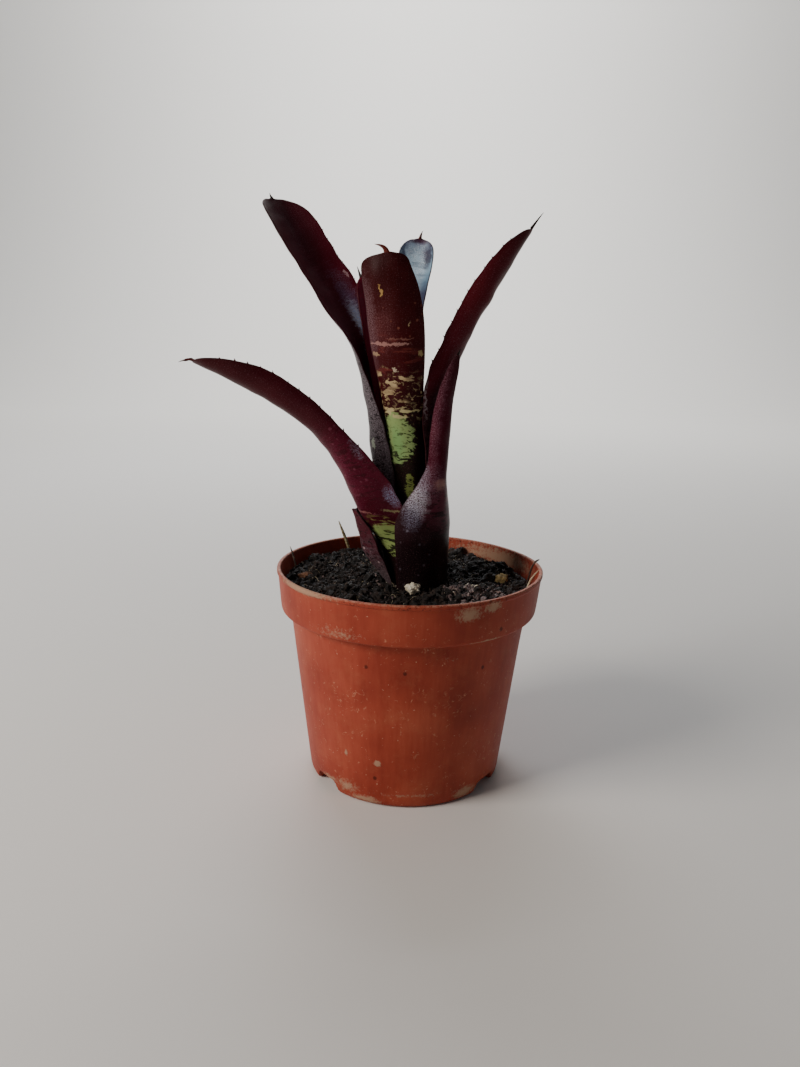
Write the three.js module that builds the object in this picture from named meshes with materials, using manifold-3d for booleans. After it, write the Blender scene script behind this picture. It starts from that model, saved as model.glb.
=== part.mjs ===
// A young neoregelia bromeliad growing in its round plastic nursery pot.
// Millimetres, +Z up. The origin is the centre of the pot's flat underside, and the front faces -Y.
// An azimuth is an angle round the pot from the front, positive towards +X.
import * as THREE from 'three';
import { mergeVertices } from 'three/addons/utils/BufferGeometryUtils.js';
import Module from 'manifold-3d';

// Pot
const potHeight = 89.5;
const rimRadius = 55;
const collarHeight = 16.75;
const collarTopRadius = 54.5;
const collarBottomRadius = 53.2;
const wallTopRadius = 49.4;
const baseRadius = 41;
const cornerRadius = 2.6;
const potWall = 1.3;
const beadHeight = 1.8;
const potSides = 48;
const rimBulge = { height: 1.2, azimuth: 95, spread: 24 };

// Drain niches moulded into the pot's foot
const nicheAzimuths = [-51, 54, 181];
const nicheHalfWidth = 6.7;
const nicheHeight = 5.3;
const nicheFlare = 1.4;
const nicheBackRadius = 26;
const drainHoleRadius = 2.4;
const drainHoleReach = 33;

// Soil
const soilLevel = 81.5;
const soilSlope = { right: -0.025, back: 0.035 };
const moundHeight = 1.6;
const moundRadius = 24;
const gap = 0.3;
const holeFlare = 2.6;
const lumpCount = 190;

// Plant
const crownTop = 73.7;
const crownRadius = 13.2;
const crownDepth = 17;
const stemX = 3;
const stemLean = 0.07;
const leafThickness = 0.8;
const marginThickness = 0.6;
const toothPitch = 7.5;
const toothWidth = 1.5;
const toothHeight = 1.05;
const slantLength = 30;
const leafBottom = crownTop + gap;
const claspHeight = 35;

const colours = {
  pot: '#a84e2e',
  soil: '#2a2220',
  wine: '#4a1a20',
  maroon: '#3a1418',
  mottled: '#55231f',
  slate: '#5d5866',
  sheath: '#3a2326',
  crown: '#4b3a2a',
  pumice: '#cfc6b4',
  pebble: '#a88a5a',
  bark: '#5a3c28',
  straw: '#b8a47a',
  sprig: '#5b5a34',
};

// The leaves, outermost first. ring is the radius at which a leaf clasps its neighbours at soil level,
// growth is its increase per mm of height, and wrap is half the angle that it clasps. rib holds the
// points that the midrib passes through. Between the two distances in open, measured along the
// midrib, the clasping part opens into the blade, whose half width is width. Each side of the blade is
// bent inwards through channel degrees, and its back turns to face the azimuth facing. tip is the
// length over which the blade narrows, tipForm is high for a round tip, and hug is high where the
// margins stay tucked in as the midrib leans away. slant is the share of its width that the side
// towards higher azimuths loses over the last slantLength of the blade.
const leaves = [
  {
    name: 'leaf_front_right_short', colour: colours.wine,
    ring: 13.2, growth: 0.004, wrap: 72, hug: 1, open: [33, 63], width: 5.2, channel: 42, facing: 30,
    tip: 34, tipForm: 1.5, teethFrom: 62,
    rib: [[10.6, -10.8, leafBottom], [11.4, -11.6, 95], [11.9, -12.3, 113], [11.5, -12, 128],
      [11.7, -11, 143], [13, -10.6, 159], [15.2, -10.8, 170], [16.8, -11, 176.2]],
    spineTip: [17.6, -11.1, 178.5],
  },
  {
    name: 'leaf_right_long', colour: colours.maroon,
    ring: 11.8, growth: 0.004, wrap: 65, hug: 1, open: [60, 108], width: 12, channel: 88, facing: 75,
    tip: 34, tipForm: 1.9, teethFrom: 104,
    rib: [[14.75, 1, leafBottom], [14.5, 1.1, 95], [13.9, 1.1, 113], [11.2, 0.8, 142], [12.3, 0.5, 159],
      [17, 0.3, 172], [21.2, 0, 182], [30.1, 0, 199], [37.4, 0, 212.2], [44, 0, 223.5]],
    spineTip: [48, 0, 229.8],
  },
  {
    name: 'leaf_left_low', colour: colours.wine,
    ring: 10.4, growth: 0.007, wrap: 60, hug: 3, open: [36, 80], width: 11.7, channel: 90, facing: -64,
    tip: 16, tipForm: 2, teethFrom: 60,
    rib: [[-7.4, -0.9, leafBottom], [-8.9, -1.2, 88], [-12.1, -2.5, 98], [-16.5, -4.5, 106],
      [-21.2, -7.2, 114.5], [-26.8, -10.4, 127], [-31.6, -13, 136.6], [-40.2, -16, 147.3],
      [-54, -20, 157.8], [-66.8, -23.5, 165], [-81, -28.2, 172.2]],
    spineTip: [-85.7, -29.5, 171.9],
  },
  {
    name: 'leaf_left_tall', colour: colours.maroon,
    ring: 9, growth: 0.004, wrap: 68, hug: 1, open: [46, 124], width: 14.1, channel: 45, facing: -130,
    tip: 18, tipForm: 2.4, teethFrom: 100,
    rib: [[-5.6, 2.8, leafBottom], [-7.6, 3.1, 95], [-10.2, 3.6, 110], [-15.2, 4.6, 130], [-17.2, 6, 149],
      [-19.4, 8.6, 166], [-23.4, 11, 181], [-33.9, 16, 197], [-44.6, 22, 212], [-56.3, 29, 230],
      [-60.8, 31.8, 237.4]],
    spineTip: [-61.6, 32, 239.8],
  },
  {
    name: 'leaf_front_centre', colour: colours.mottled,
    ring: 7.6, growth: 0.004, wrap: 65, hug: 1, open: [70, 114], width: 12.6, channel: 50, facing: -10,
    tip: 5, tipForm: 5, slant: 0.42, teethFrom: 92,
    rib: [[1, -7.3, leafBottom], [-0.1, -7.9, 95], [-3, -8.5, 118], [-4.6, -9.5, 139],
      [-6.8, -11, 157], [-7.8, -14.5, 181], [-9.2, -17.5, 196], [-10.6, -19, 205], [-11.3, -18.4, 212.2]],
    spineTip: [-15.7, -18.2, 215],
  },
  {
    name: 'leaf_rear_left', colour: colours.maroon,
    ring: 7.6, growth: 0.004, wrap: 45, hug: 1, open: [50, 80], width: 6.2, channel: 45, facing: -150,
    tip: 20, tipForm: 2, teethFrom: 80,
    rib: [[-0.8, 6.6, leafBottom], [-2.2, 6.9, 95], [-3.9, 7.2, 110], [-7, 7.8, 132], [-12, 9.8, 157],
      [-16.6, 12, 181], [-19.8, 14, 197], [-22.4, 15.3, 205.5]],
    spineTip: [-23.9, 15.7, 210.2],
  },
  {
    name: 'leaf_rear_right', colour: colours.slate,
    ring: 6.2, growth: 0.004, wrap: 50, hug: 1, open: [60, 90], width: 8.2, channel: 45, facing: 165,
    tip: 9, tipForm: 2.8, teethFrom: 85,
    rib: [[4.6, 6, leafBottom], [3.6, 6.4, 95], [1.2, 6.8, 118], [-1, 7.4, 140], [-2.6, 9, 157],
      [-3, 12, 177.5], [-3, 14.5, 193], [-1.4, 16, 203], [0.3, 17.5, 212], [1.5, 18.5, 221.4]],
    spineTip: [2.5, 18.6, 224.6],
  },
  {
    name: 'leaf_heart', colour: colours.wine,
    ring: 4.6, growth: 0, wrap: 80, hug: 1, open: [40, 62], width: 5.6, channel: 70, facing: 60,
    tip: 18, tipForm: 1.5, teethFrom: 50,
    rib: [[7, -2.3, leafBottom], [5.5, -2.3, 95], [3.5, -2.4, 118], [1.8, -2.6, 140], [0.8, -3, 157]],
    spineTip: [0.6, -3, 161.5],
  },
  {
    name: 'old_sheath_left', colour: colours.sheath,
    ring: 11.8, growth: 0.03, wrap: 37, hug: 2, open: [200, 201], width: 8, channel: 45, facing: -88,
    tip: 32, tipForm: 1.3, teethFrom: 200,
    rib: [[-8.6, -0.4, leafBottom], [-10.3, -0.5, 82], [-14.6, -1, 89], [-19, -1.5, 96],
      [-21.3, -2, 104], [-22.9, -2, 109.5], [-23.9, -2, 113.5]],
    spineTip: null,
  },
];

// Loose things that lie on the soil: middle, radii, and colour
const lumps = [
  { name: 'pumice_lump', at: [1.7, -16.9, 84.2], size: [3.1, 2.6, 2.4], colour: colours.pumice },
  { name: 'tan_pebble', at: [40, 3.5, 83], size: [3, 2.6, 2.3], colour: colours.pebble },
  { name: 'bark_piece', at: [-43.3, -0.5, 83.4], size: [3.6, 2.4, 1.8], colour: colours.bark },
  { name: 'soil_crumb', at: [-41.6, 23, 84.8], size: [3.2, 2.8, 2.4], colour: colours.soil },
  { name: 'pumice_crumb_left', at: [24.9, -6, 82.2], size: [1.5, 1.3, 1.2], colour: colours.pumice },
  { name: 'pumice_crumb_right', at: [28.6, -7.5, 82], size: [1.7, 1.4, 1.3], colour: colours.pumice },
];

// Stalks that stand in the soil: the points of each, and its radius
const stalks = [
  {
    name: 'pale_twig', radius: 0.8, colour: colours.straw,
    path: [[-26.8, 43, 78], [-28.6, 43, 86], [-33.2, 42.6, 98.5]],
  },
  {
    name: 'pale_straw', radius: 0.55, colour: colours.straw,
    path: [[47.6, -9.9, 79], [50.3, -8.9, 86.5], [53.5, -8.8, 91]],
  },
  {
    name: 'sprig_left', radius: 0.5, colour: colours.sprig,
    path: [[-48, 8, 79], [-49.2, 8.6, 87], [-51.4, 9.5, 94]],
  },
  {
    name: 'sprig_right', radius: 0.5, colour: colours.sprig,
    path: [[50, 3, 78], [53.2, 2, 90.8], [55.5, 2.2, 92.5]],
  },
];

const wasm = await Module();
wasm.setup();

const degrees = Math.PI / 180;
const mix = THREE.MathUtils.lerp;
const smoothstep = THREE.MathUtils.smoothstep;

// A repeatable random number between 0 and 1
function seededRandom(seed) {
  let state = seed;
  return () => {
    state = (state * 1664525 + 1013904223) % 4294967296;
    return state / 4294967296;
  };
}

function vector([x, y, z]) {
  return new THREE.Vector3(x, y, z);
}

function material(colour, roughness) {
  return new THREE.MeshStandardMaterial({ color: colour, roughness, metalness: 0 });
}

function named(name, geometry, colour, roughness = 0.6) {
  const mesh = new THREE.Mesh(geometry, material(colour, roughness));
  mesh.name = name;
  return mesh;
}

// Closed mesh with only positions, its shared vertices merged
function closed(geometry) {
  const bare = geometry.clone();
  bare.deleteAttribute('normal');
  bare.deleteAttribute('uv');
  return mergeVertices(bare, 1e-4);
}

function toSolid(geometry) {
  const bare = closed(geometry);
  const vertProperties = new Float32Array(bare.attributes.position.array);
  const triVerts = new Uint32Array(bare.index.array);
  return new wasm.Manifold(new wasm.Mesh({ numProp: 3, vertProperties, triVerts }));
}

function toGeometry(solid) {
  const mesh = solid.getMesh();
  const geometry = new THREE.BufferGeometry();
  geometry.setAttribute('position', new THREE.BufferAttribute(new Float32Array(mesh.vertProperties), 3));
  geometry.setIndex(new THREE.BufferAttribute(new Uint32Array(mesh.triVerts), 1));
  geometry.computeVertexNormals();
  return geometry;
}

// A profile of [radius, height] pairs turned about the Z axis
function revolve(profile, sides) {
  const points = profile.map(([radius, height]) => new THREE.Vector2(radius, height));
  return new THREE.LatheGeometry(points, sides).rotateX(Math.PI / 2);
}

// ---- pot ----

function footCorner(inset) {
  const radius = cornerRadius;
  const points = [];
  for (const angle of [-90, -62, -34, -7]) {
    const x = baseRadius - cornerRadius + (radius - inset) * Math.cos(angle * degrees);
    const z = cornerRadius + (radius - inset) * Math.sin(angle * degrees);
    points.push([x, z]);
  }
  return points;
}

function potOuterProfile() {
  const ledge = potHeight - collarHeight;
  return [
    [0, 0], ...footCorner(0),
    [wallTopRadius, ledge - 1.2], [wallTopRadius + 0.7, ledge], [collarBottomRadius - 0.3, ledge],
    [collarBottomRadius, ledge + 0.4], [collarTopRadius, potHeight - beadHeight],
    [rimRadius, potHeight - beadHeight + 0.4], [rimRadius, potHeight - 0.5], [rimRadius - 0.5, potHeight],
  ];
}

// The inside of the pot from its rim down to its floor, drawn in by inset
function potInnerProfile(inset) {
  const ledge = potHeight - collarHeight + potWall + inset;
  const wall = potWall + inset;
  return [
    [collarTopRadius - wall, potHeight - beadHeight], [collarBottomRadius - wall, ledge],
    [wallTopRadius - wall, ledge], ...footCorner(wall).reverse(), [0, wall],
  ];
}

function bulgeRim(geometry) {
  const position = geometry.attributes.position;
  for (let i = 0; i < position.count; i++) {
    const x = position.getX(i);
    const y = position.getY(i);
    const azimuth = Math.atan2(x, -y) / degrees;
    const away = (azimuth - rimBulge.azimuth) / rimBulge.spread;
    const rise = smoothstep(position.getZ(i), potHeight - 2 * collarHeight, potHeight);
    const growth = 1 + (rimBulge.height / rimRadius) * rise * Math.exp(-away * away);
    position.setXY(i, x * growth, y * growth);
  }
  return geometry;
}

// Elevation of a drain niche: an arch with flared feet, grown outwards by grow
function nicheArch(grow) {
  const half = nicheHalfWidth + grow;
  const top = nicheHeight + grow;
  const shape = new THREE.Shape();
  shape.moveTo(-half - nicheFlare, -grow - 1);
  shape.lineTo(half + nicheFlare, -grow - 1);
  shape.lineTo(half + nicheFlare, 0);
  shape.quadraticCurveTo(half, top * 0.35, half - 0.4, top * 0.7);
  shape.quadraticCurveTo(half - 1, top, half - 3, top);
  shape.lineTo(-half + 3, top);
  shape.quadraticCurveTo(-half + 1, top, -half + 0.4, top * 0.7);
  shape.quadraticCurveTo(-half, top * 0.35, -half - nicheFlare, 0);
  return shape;
}

function nicheBlock(azimuth, grow) {
  const from = nicheBackRadius - grow;
  const block = new THREE.ExtrudeGeometry(nicheArch(grow), {
    depth: rimRadius - from, bevelEnabled: false, curveSegments: 3,
  });
  block.translate(0, 0, from);
  block.rotateX(Math.PI / 2);
  return block.rotateZ(azimuth * degrees);
}

function drainHole(azimuth) {
  const hole = new THREE.CylinderGeometry(drainHoleRadius, drainHoleRadius, 8, 16).rotateX(Math.PI / 2);
  hole.translate(0, -drainHoleReach, nicheHeight);
  return hole.rotateZ(azimuth * degrees);
}

function potGeometry() {
  const shellProfile = [...potOuterProfile(), [rimRadius - 1.6, potHeight], ...potInnerProfile(0)];
  const envelope = toSolid(revolve([...potOuterProfile(), [0, potHeight]], potSides));
  let pot = toSolid(revolve(shellProfile, potSides));
  for (const azimuth of nicheAzimuths) {
    const lining = toSolid(nicheBlock(azimuth, potWall)).intersect(envelope);
    pot = pot.add(lining).subtract(toSolid(nicheBlock(azimuth, 0)));
    pot = pot.subtract(toSolid(drainHole(azimuth)));
  }
  return bulgeRim(toGeometry(pot));
}

// ---- soil ----

function soilRelief() {
  const random = seededRandom(11);
  const bumps = [];
  for (let i = 0; i < lumpCount; i++) {
    const reach = 50 * Math.sqrt(random());
    const angle = 2 * Math.PI * random();
    const size = mix(2.4, 5.5, random());
    const rise = mix(-1.1, 1.5, random());
    bumps.push({ x: reach * Math.cos(angle), y: reach * Math.sin(angle), size, rise });
  }
  return (x, y) => {
    let height = soilSlope.right * x + soilSlope.back * y;
    height += moundHeight * Math.exp(-((x - stemX) ** 2 + y * y) / moundRadius ** 2);
    for (const bump of bumps) {
      const away = ((x - bump.x) ** 2 + (y - bump.y) ** 2) / bump.size ** 2;
      height += bump.rise * Math.exp(-away * 1.4);
    }
    return height;
  };
}

function soilBody() {
  const inner = potInnerProfile(gap).reverse();
  const [collarTop] = inner.splice(-1);
  const ledgeEdge = inner.at(-1);
  const share = (soilLevel - ledgeEdge[1]) / (collarTop[1] - ledgeEdge[1]);
  const edge = mix(ledgeEdge[0], collarTop[0], share);
  const profile = [...inner, [edge, soilLevel]];
  for (let ring = 12; ring >= 0; ring--) profile.push([(edge - 1.5) * ring / 12, soilLevel]);
  const geometry = revolve(profile, 60);
  const position = geometry.attributes.position;
  const relief = soilRelief();
  for (let i = 0; i < position.count; i++) {
    const x = position.getX(i);
    const y = position.getY(i);
    if (position.getZ(i) > soilLevel - 0.01 && Math.hypot(x, y) < edge - 0.1) {
      position.setZ(i, soilLevel + relief(x, y));
    }
  }
  return toSolid(geometry);
}

function crownProfile(grow) {
  const bottom = crownTop - crownDepth - grow;
  const radius = crownRadius + grow;
  return [
    [0, bottom], [radius * 0.45, bottom], [radius * 0.75, bottom + crownDepth * 0.3],
    [radius, crownTop - crownDepth * 0.25],
  ];
}

function crownGeometry() {
  const profile = [...crownProfile(0), [crownRadius, crownTop], [0, crownTop]];
  return revolve(profile, 28).translate(stemX, 0, 0);
}

function plantHole() {
  const top = soilLevel + 4 * moundHeight;
  const grow = 2 * gap;
  const throat = [crownRadius + grow, crownTop + 4];
  const profile = [...crownProfile(grow), throat, [crownRadius + grow + holeFlare, top], [0, top]];
  return revolve(profile, 36).translate(stemX, 0, 0);
}

function soilGeometry(resting) {
  let soil = soilBody().subtract(toSolid(plantHole()));
  for (const azimuth of nicheAzimuths) {
    soil = soil.subtract(toSolid(nicheBlock(azimuth, potWall + gap)));
  }
  for (const seat of resting) soil = soil.subtract(toSolid(seat));
  return toGeometry(soil);
}

function lumpGeometry({ at, size }, grow) {
  const [width, depth, height] = size;
  const random = seededRandom(Math.round(100 * width + at[0]));
  const lump = closed(new THREE.IcosahedronGeometry(1, 1));
  const position = lump.attributes.position;
  for (let i = 0; i < position.count; i++) {
    const rough = mix(0.86, 1.06, random());
    const x = position.getX(i) * (width * rough + grow);
    const y = position.getY(i) * (depth * rough + grow);
    const z = position.getZ(i) * (height * rough + grow);
    position.setXYZ(i, x, y, z);
  }
  return lump.translate(...at);
}

function stalkGeometry({ path, radius }, grow) {
  const curve = new THREE.CatmullRomCurve3(path.map(vector));
  const section = new THREE.Shape();
  section.absarc(0, 0, radius + grow, 0, 2 * Math.PI);
  return new THREE.ExtrudeGeometry(section, {
    steps: 5, curveSegments: 3, bevelEnabled: false, extrudePath: curve,
  });
}

// ---- leaves ----

function stemAxisX(height) {
  return stemX - stemLean * Math.max(0, height - soilLevel);
}

function outwards(azimuth) {
  return new THREE.Vector3(Math.sin(azimuth), -Math.cos(azimuth), 0);
}

// Share of the full width that is left at a distance along the midrib
function tipShare(leaf, distance, length) {
  const into = Math.max(0, (distance - (length - leaf.tip)) / leaf.tip);
  return Math.sqrt(Math.max(0, 1 - into ** leaf.tipForm));
}

// The place across the leaf, drawn in on the slanted side near the tip
function slanted(leaf, distance, length, across) {
  if (!leaf.slant || across < 0) return across;
  const into = Math.max(0, 1 - (length - distance) / slantLength);
  return across * (1 - leaf.slant * into ** 2);
}

// Distances along the midrib at which the leaf has a row of points, with tooth pairs on the blade
function rowDistances(leaf, length) {
  const rows = [];
  const clasp = Math.min(leaf.teethFrom, length - 4);
  const steps = Math.round(clasp / 9);
  for (let i = 0; i < steps; i++) rows.push({ distance: clasp * i / steps, tooth: false });
  for (let at = clasp; at < length - 5; at += toothPitch) {
    rows.push({ distance: at, tooth: true }, { distance: at + toothWidth, tooth: false });
  }
  for (const left of [2.6, 1, 0.25]) rows.push({ distance: length - left, tooth: false });
  return rows;
}

// Where the leaf clasps the plant: a level arc about the leaning stem
function claspPoint(leaf, rib, across, share) {
  const axisX = stemAxisX(rib.z);
  const azimuth = Math.atan2(rib.x - axisX, -rib.y) + across * leaf.wrap * degrees * share;
  const risen = THREE.MathUtils.clamp(rib.z - soilLevel, 0, claspHeight);
  const ring = leaf.ring * (1 + leaf.growth * risen);
  const reach = Math.hypot(rib.x - axisX, rib.y);
  const lean = Math.cos(across * Math.PI / 2) ** leaf.hug;
  const radius = mix(ring, reach, lean);
  return outwards(azimuth).multiplyScalar(radius).add(new THREE.Vector3(axisX, 0, rib.z));
}

// Where it is a free blade: an arc across the midrib, hollow towards the plant
function bladePoint(rib, tangent, azimuth, halfWidth, halfAngle, across) {
  const side = tangent.clone().cross(outwards(azimuth)).normalize();
  const inwards = tangent.clone().cross(side).normalize();
  const radius = halfWidth / halfAngle;
  const turn = across * halfAngle;
  return rib.clone()
    .addScaledVector(side, radius * Math.sin(turn))
    .addScaledVector(inwards, radius * (1 - Math.cos(turn)));
}

function leafRow(leaf, curve, length, distance, columns) {
  const rib = curve.getPointAt(distance / length);
  const tangent = curve.getTangentAt(distance / length);
  const opened = smoothstep(distance, leaf.open[0], leaf.open[1]);
  const ribAzimuth = Math.atan2(rib.x - stemAxisX(rib.z), -rib.y);
  const facing = nearestTurn(leaf.facing * degrees, ribAzimuth);
  const share = tipShare(leaf, distance, length);
  const azimuth = mix(ribAzimuth, facing, opened);
  const halfWidth = Math.max(leaf.width * share, 0.5);
  const halfAngle = leaf.channel * degrees * Math.max(share, 0.2);
  return columns.map((column) => {
    const across = slanted(leaf, distance, length, column);
    const clasp = claspPoint(leaf, rib, across, share);
    const blade = bladePoint(rib, tangent, azimuth, halfWidth, halfAngle, across);
    return clasp.lerp(blade, opened);
  });
}

function nearestTurn(angle, reference) {
  return angle - 2 * Math.PI * Math.round((angle - reference) / (2 * Math.PI));
}

// The terminal spine carries the midrib on to a sharp point
function spineRows(leaf, curve, columns) {
  const foot = curve.getPointAt(1);
  const tangent = curve.getTangentAt(1);
  const point = vector(leaf.spineTip);
  const bend = foot.clone().addScaledVector(tangent, foot.distanceTo(point) * 0.5);
  const spine = new THREE.QuadraticBezierCurve3(foot, bend, point);
  return [0.1, 0.45, 0.75, 1].map((along) => {
    const halfWidth = mix(0.55, 0.14, along);
    const middle = spine.getPoint(along);
    const heading = spine.getTangent(along);
    return columns.map((across) => (
      bladePoint(middle, heading, leaf.facing * degrees, halfWidth, 0.4, across)
    ));
  });
}

function rowNormal(rows, row, column) {
  const before = rows[Math.max(row - 1, 0)][column];
  const after = rows[Math.min(row + 1, rows.length - 1)][column];
  const left = rows[row][Math.max(column - 1, 0)];
  const right = rows[row][Math.min(column + 1, rows[row].length - 1)];
  const along = after.clone().sub(before);
  return right.clone().sub(left).cross(along).normalize();
}

// One closed blade: a back face, a hollow face, and margins that carry the teeth
function leafGeometry(leaf) {
  const columns = [-1, -0.68, -0.35, 0, 0.35, 0.68, 1];
  const last = columns.length - 1;
  const curve = new THREE.CatmullRomCurve3(leaf.rib.map(vector), false, 'centripetal');
  const length = curve.getLength();
  const marks = rowDistances(leaf, length);
  const back = marks.map(({ distance }) => leafRow(leaf, curve, length, distance, columns));
  const bladeRows = back.length;
  if (leaf.spineTip) back.push(...spineRows(leaf, curve, columns));
  const hollow = back.map((points, row) => points.map((point, column) => {
    const slim = row < bladeRows ? 1 : mix(0.9, 0.45, (row - bladeRows) / 3);
    const thickness = slim * mix(leafThickness, marginThickness, columns[column] ** 2);
    return point.clone().addScaledVector(rowNormal(back, row, column), -thickness);
  }));
  return stitchLeaf(back, hollow, marks, last);
}

function stitchLeaf(back, hollow, marks, last) {
  const positions = [];
  const triangle = (a, b, c) => positions.push(...a, ...b, ...c);
  const quad = (a, b, c, d) => {
    triangle(a, b, c);
    triangle(a, c, d);
  };
  for (let row = 0; row + 1 < back.length; row++) {
    const next = row + 1;
    for (let column = 0; column < last; column++) {
      const side = column + 1;
      quad(back[row][column], back[row][side], back[next][side], back[next][column]);
      quad(hollow[row][side], hollow[row][column], hollow[next][column], hollow[next][side]);
    }
    const tooth = row < marks.length && marks[row].tooth;
    const left = [back[row][0], back[next][0], hollow[next][0], hollow[row][0]];
    const right = [back[row][last], hollow[row][last], hollow[next][last], back[next][last]];
    for (const [edge, inner] of [[left, back[row][1]], [right, back[row][last - 1]]]) {
      if (tooth) addTooth(triangle, edge, inner);
      else quad(...edge);
    }
  }
  closeEnd(quad, back[0], hollow[0], last, false);
  closeEnd(quad, back.at(-1), hollow.at(-1), last, true);
  return soup(positions);
}

// A forward-pointing marginal tooth on one stretch of the leaf's edge
function addTooth(triangle, edge, inner) {
  const root = edge[0];
  const out = root.clone().sub(inner).normalize();
  const forward = edge[1].distanceTo(root) > edge[3].distanceTo(root) ? edge[1] : edge[3];
  const along = forward.clone().sub(root).normalize();
  const apex = root.clone().add(edge[2]).multiplyScalar(0.5)
    .addScaledVector(out, toothHeight).addScaledVector(along, toothHeight * 0.7);
  for (let i = 0; i < 4; i++) triangle(edge[i], edge[(i + 1) % 4], apex);
}

function closeEnd(quad, back, hollow, last, atTip) {
  for (let column = 0; column < last; column++) {
    const face = [back[column], hollow[column], hollow[column + 1], back[column + 1]];
    if (atTip) face.reverse();
    quad(...face);
  }
}

function soup(positions) {
  const geometry = new THREE.BufferGeometry();
  geometry.setAttribute('position', new THREE.Float32BufferAttribute(positions, 3));
  geometry.computeVertexNormals();
  return geometry;
}

// ---- the whole plant in its pot ----

const seats = [
  ...lumps.map((lump) => lumpGeometry(lump, gap)),
  ...stalks.map((stalk) => stalkGeometry(stalk, gap)),
];
const bromeliad = new THREE.Group();
bromeliad.add(named('pot', potGeometry(), colours.pot, 0.5));
bromeliad.add(named('soil', soilGeometry(seats), colours.soil, 0.95));
bromeliad.add(named('root_crown', crownGeometry(), colours.crown, 0.9));
for (const leaf of leaves) bromeliad.add(named(leaf.name, leafGeometry(leaf), leaf.colour, 0.45));
for (const lump of lumps) bromeliad.add(named(lump.name, lumpGeometry(lump, 0), lump.colour, 0.9));
for (const stalk of stalks) bromeliad.add(named(stalk.name, stalkGeometry(stalk, 0), stalk.colour, 0.8));

export default bromeliad;
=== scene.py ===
import math
import random
import bmesh
import bpy
import numpy as np
from mathutils import Euler, Matrix, Vector, noise


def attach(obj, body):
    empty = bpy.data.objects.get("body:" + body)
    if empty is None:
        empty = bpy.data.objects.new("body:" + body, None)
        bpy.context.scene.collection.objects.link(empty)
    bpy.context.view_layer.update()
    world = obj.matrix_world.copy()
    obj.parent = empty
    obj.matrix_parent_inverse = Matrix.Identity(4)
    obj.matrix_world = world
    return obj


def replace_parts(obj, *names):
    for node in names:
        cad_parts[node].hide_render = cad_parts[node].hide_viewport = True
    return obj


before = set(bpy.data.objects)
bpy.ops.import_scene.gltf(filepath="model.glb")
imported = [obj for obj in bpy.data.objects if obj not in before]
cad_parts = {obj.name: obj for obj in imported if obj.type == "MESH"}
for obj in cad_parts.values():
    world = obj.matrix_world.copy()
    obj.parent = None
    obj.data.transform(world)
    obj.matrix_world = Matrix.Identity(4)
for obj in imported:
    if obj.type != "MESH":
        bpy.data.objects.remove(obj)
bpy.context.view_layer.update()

# ---- Camera ----
# The camera stands in front, a little above the tallest leaf's middle, and looks slightly down. The
# view is upright, so the 36 mm of its sensor lie along the view's height.
camera_place = Vector((-4, -325.1, 181.06)) * 0.001
camera_right = Vector((0.99974, 0.00533, 0.02215))
camera_up = Vector((-0.02278, 0.23401, 0.97197))
camera_data = bpy.data.cameras.new("camera")
camera_data.sensor_width = 36
camera_data.lens = 26.99
camera_data.clip_start = 0.01
camera = bpy.data.objects.new("camera", camera_data)
camera_turn = Matrix((camera_right, camera_up, camera_right.cross(camera_up))).transposed()
camera.matrix_world = Matrix.Translation(camera_place) @ camera_turn.to_4x4()
bpy.context.scene.collection.objects.link(camera)
bpy.context.scene.camera = camera


# ---- Nursery pot ----
# One thin shell of injection-moulded polypropylene, coloured through in terracotta. It has a folded
# collar, a thin bead round the rim, and three arched drain niches moulded into the foot, each with a
# small hole in its ceiling. Handling has scuffed it, and hard water has dried on it in pale crusts.
pot_height = 89.5
rim_radius = 55
pot_wall = 1.3
pot_sides = 360
pot_corners = [  # radius, height and rounding, from the underside's middle round to the inner floor
    (0, 0, 0), (24, 0, 0), (41, 0, 2.6), (42, 8, 0), (49.35, 71.4, 0.7), (50.1, 72.75, 0.5),
    (53.15, 72.75, 0.7), (53.45, 74.6, 1), (54.5, 87.5, 0.3), (55, 87.9, 0.3), (55, 89.5, 0.55),
    (53.5, 89.5, 0.5), (53.25, 87.7, 0.4), (51.9, 74, 0.6), (48.1, 74, 0.6), (40.8, 8, 0),
    (39.7, 1.3, 1.6), (24, 1.3, 0), (0, 1.3, 0),
]
niche_azimuths = [-51, 54, 181]
niche_arch = [(0, 5.3), (3.9, 5.3), (5.3, 4.85), (6.2, 3.8), (6.75, 2.2), (7.4, 0.75), (8.3, 0)]
niche_back = (26, 27.4)
hole_radius, hole_reach = 2.4, 33
rim_bulge, rim_bulge_azimuth, rim_bulge_spread, rim_bulge_depth = 1.18, 95, 24, 33.5


def linear(hex_code):
    """The linear colour of an sRGB hex value"""
    shares = [int(hex_code[i:i + 2], 16) / 255 for i in (1, 3, 5)]
    return [s / 12.92 if s <= 0.04045 else ((s + 0.055) / 1.055) ** 2.4 for s in shares] + [1]


def add(tree, kind, inputs=(), operation=None, out=0, stops=None, **settings):
    """Adds one node with its settings, links or fills its inputs, which are a list in their order or
    a dictionary, and returns one of its outputs"""
    node = tree.nodes.new("ShaderNode" + kind)
    if operation:
        node.operation = operation
    for key, value in settings.items():
        setattr(node, key, value)
    for key, value in inputs.items() if isinstance(inputs, dict) else enumerate(inputs):
        if isinstance(value, bpy.types.NodeSocket):
            tree.links.new(value, node.inputs[key])
        else:
            node.inputs[key].default_value = value
    if stops:
        ramp = node.color_ramp
        while len(ramp.elements) < len(stops):
            ramp.elements.new(0.5)
        for element, (place, hex_code) in zip(ramp.elements, stops):
            element.position, element.color = place, linear(hex_code)
    return node.outputs[out]


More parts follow.
